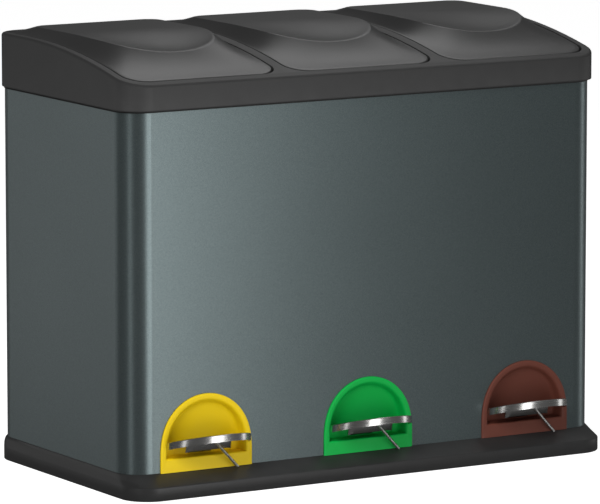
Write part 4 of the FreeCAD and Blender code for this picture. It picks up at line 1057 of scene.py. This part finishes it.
@dataclass
class Hems:
    """The frame's rolled lower edge with a dark strip under it as painted shade, and the base's broad lip with soft
    edges.
    """

    roll: float = 0.0010
    seal: float = 0.0019
    corner: float = 0.028
    spread: float = 0.0010
    lip: float = 0.0150
    land: float = 0.0254
    soft: float = 0.0016

    def build(self) -> None:
        """Models the frame's lower edge, the dark strip under it that paints its shadow line, and the base's lip."""
        shell_low, shell_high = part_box("shell")
        self.body = RoundedBox(shell_low.x, shell_high.x, shell_low.y, shell_high.y, self.corner)
        self._finish(self._hem(), "dark_plastic", Palette.FRAME)
        # painted shade: a dark strip under the frame's edge stands in for the shadow line there
        self._finish(self._seal(), "rubber")
        self._finish(self._lip(), "black_plastic")

    @staticmethod
    def _finish(piece: bpy.types.Object, slot: str, finish: Finish | None = None) -> None:
        """Shades a piece and fixes it to the body."""
        Bench.smooth(piece, 50)
        Palette.dress(piece, slot, finish)
        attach(piece, "housing_group")
        LOG.info("%s: %d faces", piece.name, len(piece.data.polygons))

    def _hem(self) -> bpy.types.Object:
        """The rolled lower edge of the top frame."""
        low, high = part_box("top_frame")
        outline = RoundedBox(low.x, high.x, low.y, high.y, self.corner + high.x - self.body.high_x)
        loops = [outline.grown(0.00005).loop(low.z + 0.0004)]
        for k in range(7):
            a = math.pi / 2 * k / 6
            loops.append(outline.grown(self.roll * (math.cos(a) - 1)).loop(low.z - self.roll * math.sin(a)))
        loops.append(outline.grown(-0.0026).loop(low.z - self.roll))
        loops.append(outline.grown(-0.0026).loop(low.z + 0.0002))
        return Bench.skin("frame_hem", loops)

    def _seal(self) -> bpy.types.Object:
        """A dark rubber strip between the frame and the steel body: painted shade that stands for the shadow line
        under the frame.
        """
        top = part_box("top_frame")[0].z
        low = top - self.roll - self.seal
        loops = [self.body.grown(0.0007).loop(top), self.body.grown(0.0007).loop(low + 0.0003),
                 self.body.grown(0.0004).loop(low), self.body.grown(-0.0002).loop(low)]
        return Bench.skin("frame_seal", loops)

    def _lip(self) -> bpy.types.Object:
        """The base's lip: a soft upright edge and a slope up to the steel body."""
        low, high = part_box("base")
        outer = RoundedBox(low.x - self.spread, high.x + self.spread, low.y - self.spread, high.y + self.spread,
                           self.corner + high.x + self.spread - self.body.high_x)
        loops = [outer.grown(-0.003).loop(0.0004), outer.grown(-0.0008).loop(0.0004), outer.loop(0.0012)]
        loops.append(outer.loop(self.lip - self.soft))
        inner = self.body.grown(0.0002)
        for k in range(1, 6):
            a = math.pi / 2 * k / 6
            section = []
            for edge, (x, y) in zip(outer.loop(self.lip - self.soft * (1 - math.sin(a))), inner.points()):
                out = Vector((edge.x - x, edge.y - y)).normalized()
                back = self.soft * (1 - math.cos(a)) * max(0.0, -out.y) ** 2
                section.append(Vector((edge.x - out.x * back, edge.y - out.y * back, edge.z)))
            loops.append(section)
        last = loops[-1]
        for share in (0.06, 0.15, 0.28, 0.45, 0.64, 0.83, 0.97):
            section = []
            for start, (x, y) in zip(last, inner.points()):
                out = Vector((start.x - x, start.y - y))
                frontness = max(0.0, -out.y / out.length) ** 2
                rise = share * frontness + math.sqrt(1 - (1 - share) ** 2) * (1 - frontness)
                section.append(Vector((start.x + (x - start.x) * share, start.y + (y - start.y) * share,
                                       start.z + (self.land - start.z) * rise)))
            loops.append(section)
        loops.append(inner.loop(self.land))
        loops.append(self.body.grown(-0.0006).loop(self.land - 0.001))
        return Bench.skin("base_lip", loops)


# ---- the setting ----------------------------------------------------------------------------------------

@dataclass(frozen=True)
class Lamp:
    """A rectangular soft light that looks at a point."""

    name: str
    place: tuple[float, float, float]
    target: tuple[float, float, float]
    size: tuple[float, float]
    power: float
    glossy: bool = True

    def hang(self) -> None:
        """Adds the light, unseen by the camera."""
        Bench.clear()
        bpy.ops.object.light_add(type="AREA", location=self.place)
        light = bpy.context.object
        light.name = self.name
        light.data.shape = "RECTANGLE"
        light.data.size, light.data.size_y = self.size
        light.data.energy = self.power
        ahead = Vector(self.target) - Vector(self.place)
        light.rotation_euler = ahead.to_track_quat("-Z", "Y").to_euler()
        light.visible_camera = False
        light.visible_glossy = self.glossy


@dataclass
class Studio:
    """A pale floor, soft light and the camera."""

    eye: Vector = field(default_factory=lambda: Vector((-2.9449, -4.9173, 1.0815)))
    azimuth: float = -30.82
    elevation: float = 8.41
    lens: float = 323.0
    shift: tuple[float, float] = (0.00455, -0.01857)
    lamps: tuple[Lamp, ...] = (
        Lamp("key", (0.10, -1.20, 0.14), (-0.22, -0.1, 0.20), (0.45, 0.95), 4.5),
        Lamp("side", (-1.6, 1.9, 0.25), (-0.2, 0, 0.2), (1.0, 1.4), 2.3),
        Lamp("top", (0.70, 0.95, 1.62), (-0.2, -0.1, 0.45), (0.75, 0.75), 2.7),
        Lamp("edge", (0.66, -0.19, 1.40), (0.0, 0.0, 0.30), (0.4, 0.4), 1.8),
        Lamp("fill", (-1.63, -1.37, 1.70), (0, 0, 0.2), (1.0, 1.0), 42.0, glossy=False),
        Lamp("left", (-1.40, -0.65, 0.15), (-0.2, 0, 0.2), (0.22, 0.9), 0.9),
        Lamp("right", (1.90, -0.45, 0.10), (0.2, 0, 0.2), (0.4, 0.9), 2.0),
    )

    def build(self) -> None:
        """Sets up floor, lights and camera."""
        self._floor()
        for lamp in self.lamps:
            lamp.hang()
        self._world()
        self._camera()

    @staticmethod
    def _floor() -> None:
        """A wide pale floor that stays white to the camera and leaves the steel's reflections alone."""
        Bench.clear()
        bpy.ops.mesh.primitive_plane_add(size=30)
        floor = bpy.context.object
        floor.name = "floor"
        floor.visible_glossy = False
        floor.visible_shadow = False
        material = bpy.data.materials.new("floor_paint")
        material.use_nodes = True
        tree = material.node_tree
        shader = tree.nodes["Principled BSDF"]
        shader.inputs["Base Color"].default_value = (0.8, 0.8, 0.8, 1)
        shader.inputs["Roughness"].default_value = 0.9
        shader.inputs["Emission Color"].default_value = (1, 1, 1, 1)
        ray = tree.nodes.new("ShaderNodeLightPath")
        scaled = wire(tree, "ShaderNodeMath", {0: ray.outputs["Is Camera Ray"], 1: 0.9}, operation="MULTIPLY")
        tree.links.new(scaled.outputs[0], shader.inputs["Emission Strength"])
        floor.data.materials.append(material)

    @staticmethod
    def _world() -> None:
        """Dim even light from all round, with a white backdrop for the camera only."""
        world = bpy.data.worlds.new("surround")
        world.use_nodes = True
        tree = world.node_tree
        dim = tree.nodes["Background"]
        dim.inputs["Color"].default_value = (0.10, 0.10, 0.10, 1)
        white = wire(tree, "ShaderNodeBackground", {"Color": (1, 1, 1, 1)})
        ray = tree.nodes.new("ShaderNodeLightPath")
        either = wire(tree, "ShaderNodeMixShader", {"Fac": ray.outputs["Is Camera Ray"],
                                                    1: dim.outputs["Background"], 2: white.outputs["Background"]})
        tree.links.new(either.outputs["Shader"], tree.nodes["World Output"].inputs["Surface"])
        bpy.context.scene.world = world
        bpy.context.scene.view_settings.view_transform = "Standard"

    def _camera(self) -> None:
        """The camera, level and without blur."""
        Bench.clear()
        bpy.ops.object.camera_add(location=self.eye)
        camera = bpy.context.object
        turn, rise = math.radians(self.azimuth), math.radians(self.elevation)
        ahead = Vector((-math.sin(turn) * math.cos(rise), math.cos(turn) * math.cos(rise), -math.sin(rise)))
        camera.rotation_euler = ahead.to_track_quat("-Z", "Y").to_euler()
        camera.data.sensor_width = 36.0
        camera.data.lens = self.lens
        camera.data.shift_x, camera.data.shift_y = self.shift
        camera.data.clip_end = 60.0
        bpy.context.scene.camera = camera


def main() -> None:
    """Builds the bin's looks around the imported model."""
    logging.basicConfig(level=logging.INFO, format="%(name)s: %(message)s")
    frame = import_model()
    slots = {part["node"]: part["material_slot"] for part in frame["record"]["subparts"]}
    for node, slot in slots.items():
        Palette.dress(frame["nodes"][node], slot, Palette.FRAME if node == "top_frame" else None)
    Lids(Crown()).build()
    Housings().build()
    Treads().build()
    Springs().build()
    Hems().build()
    Studio().build()


if __name__ == "__main__":
    main()
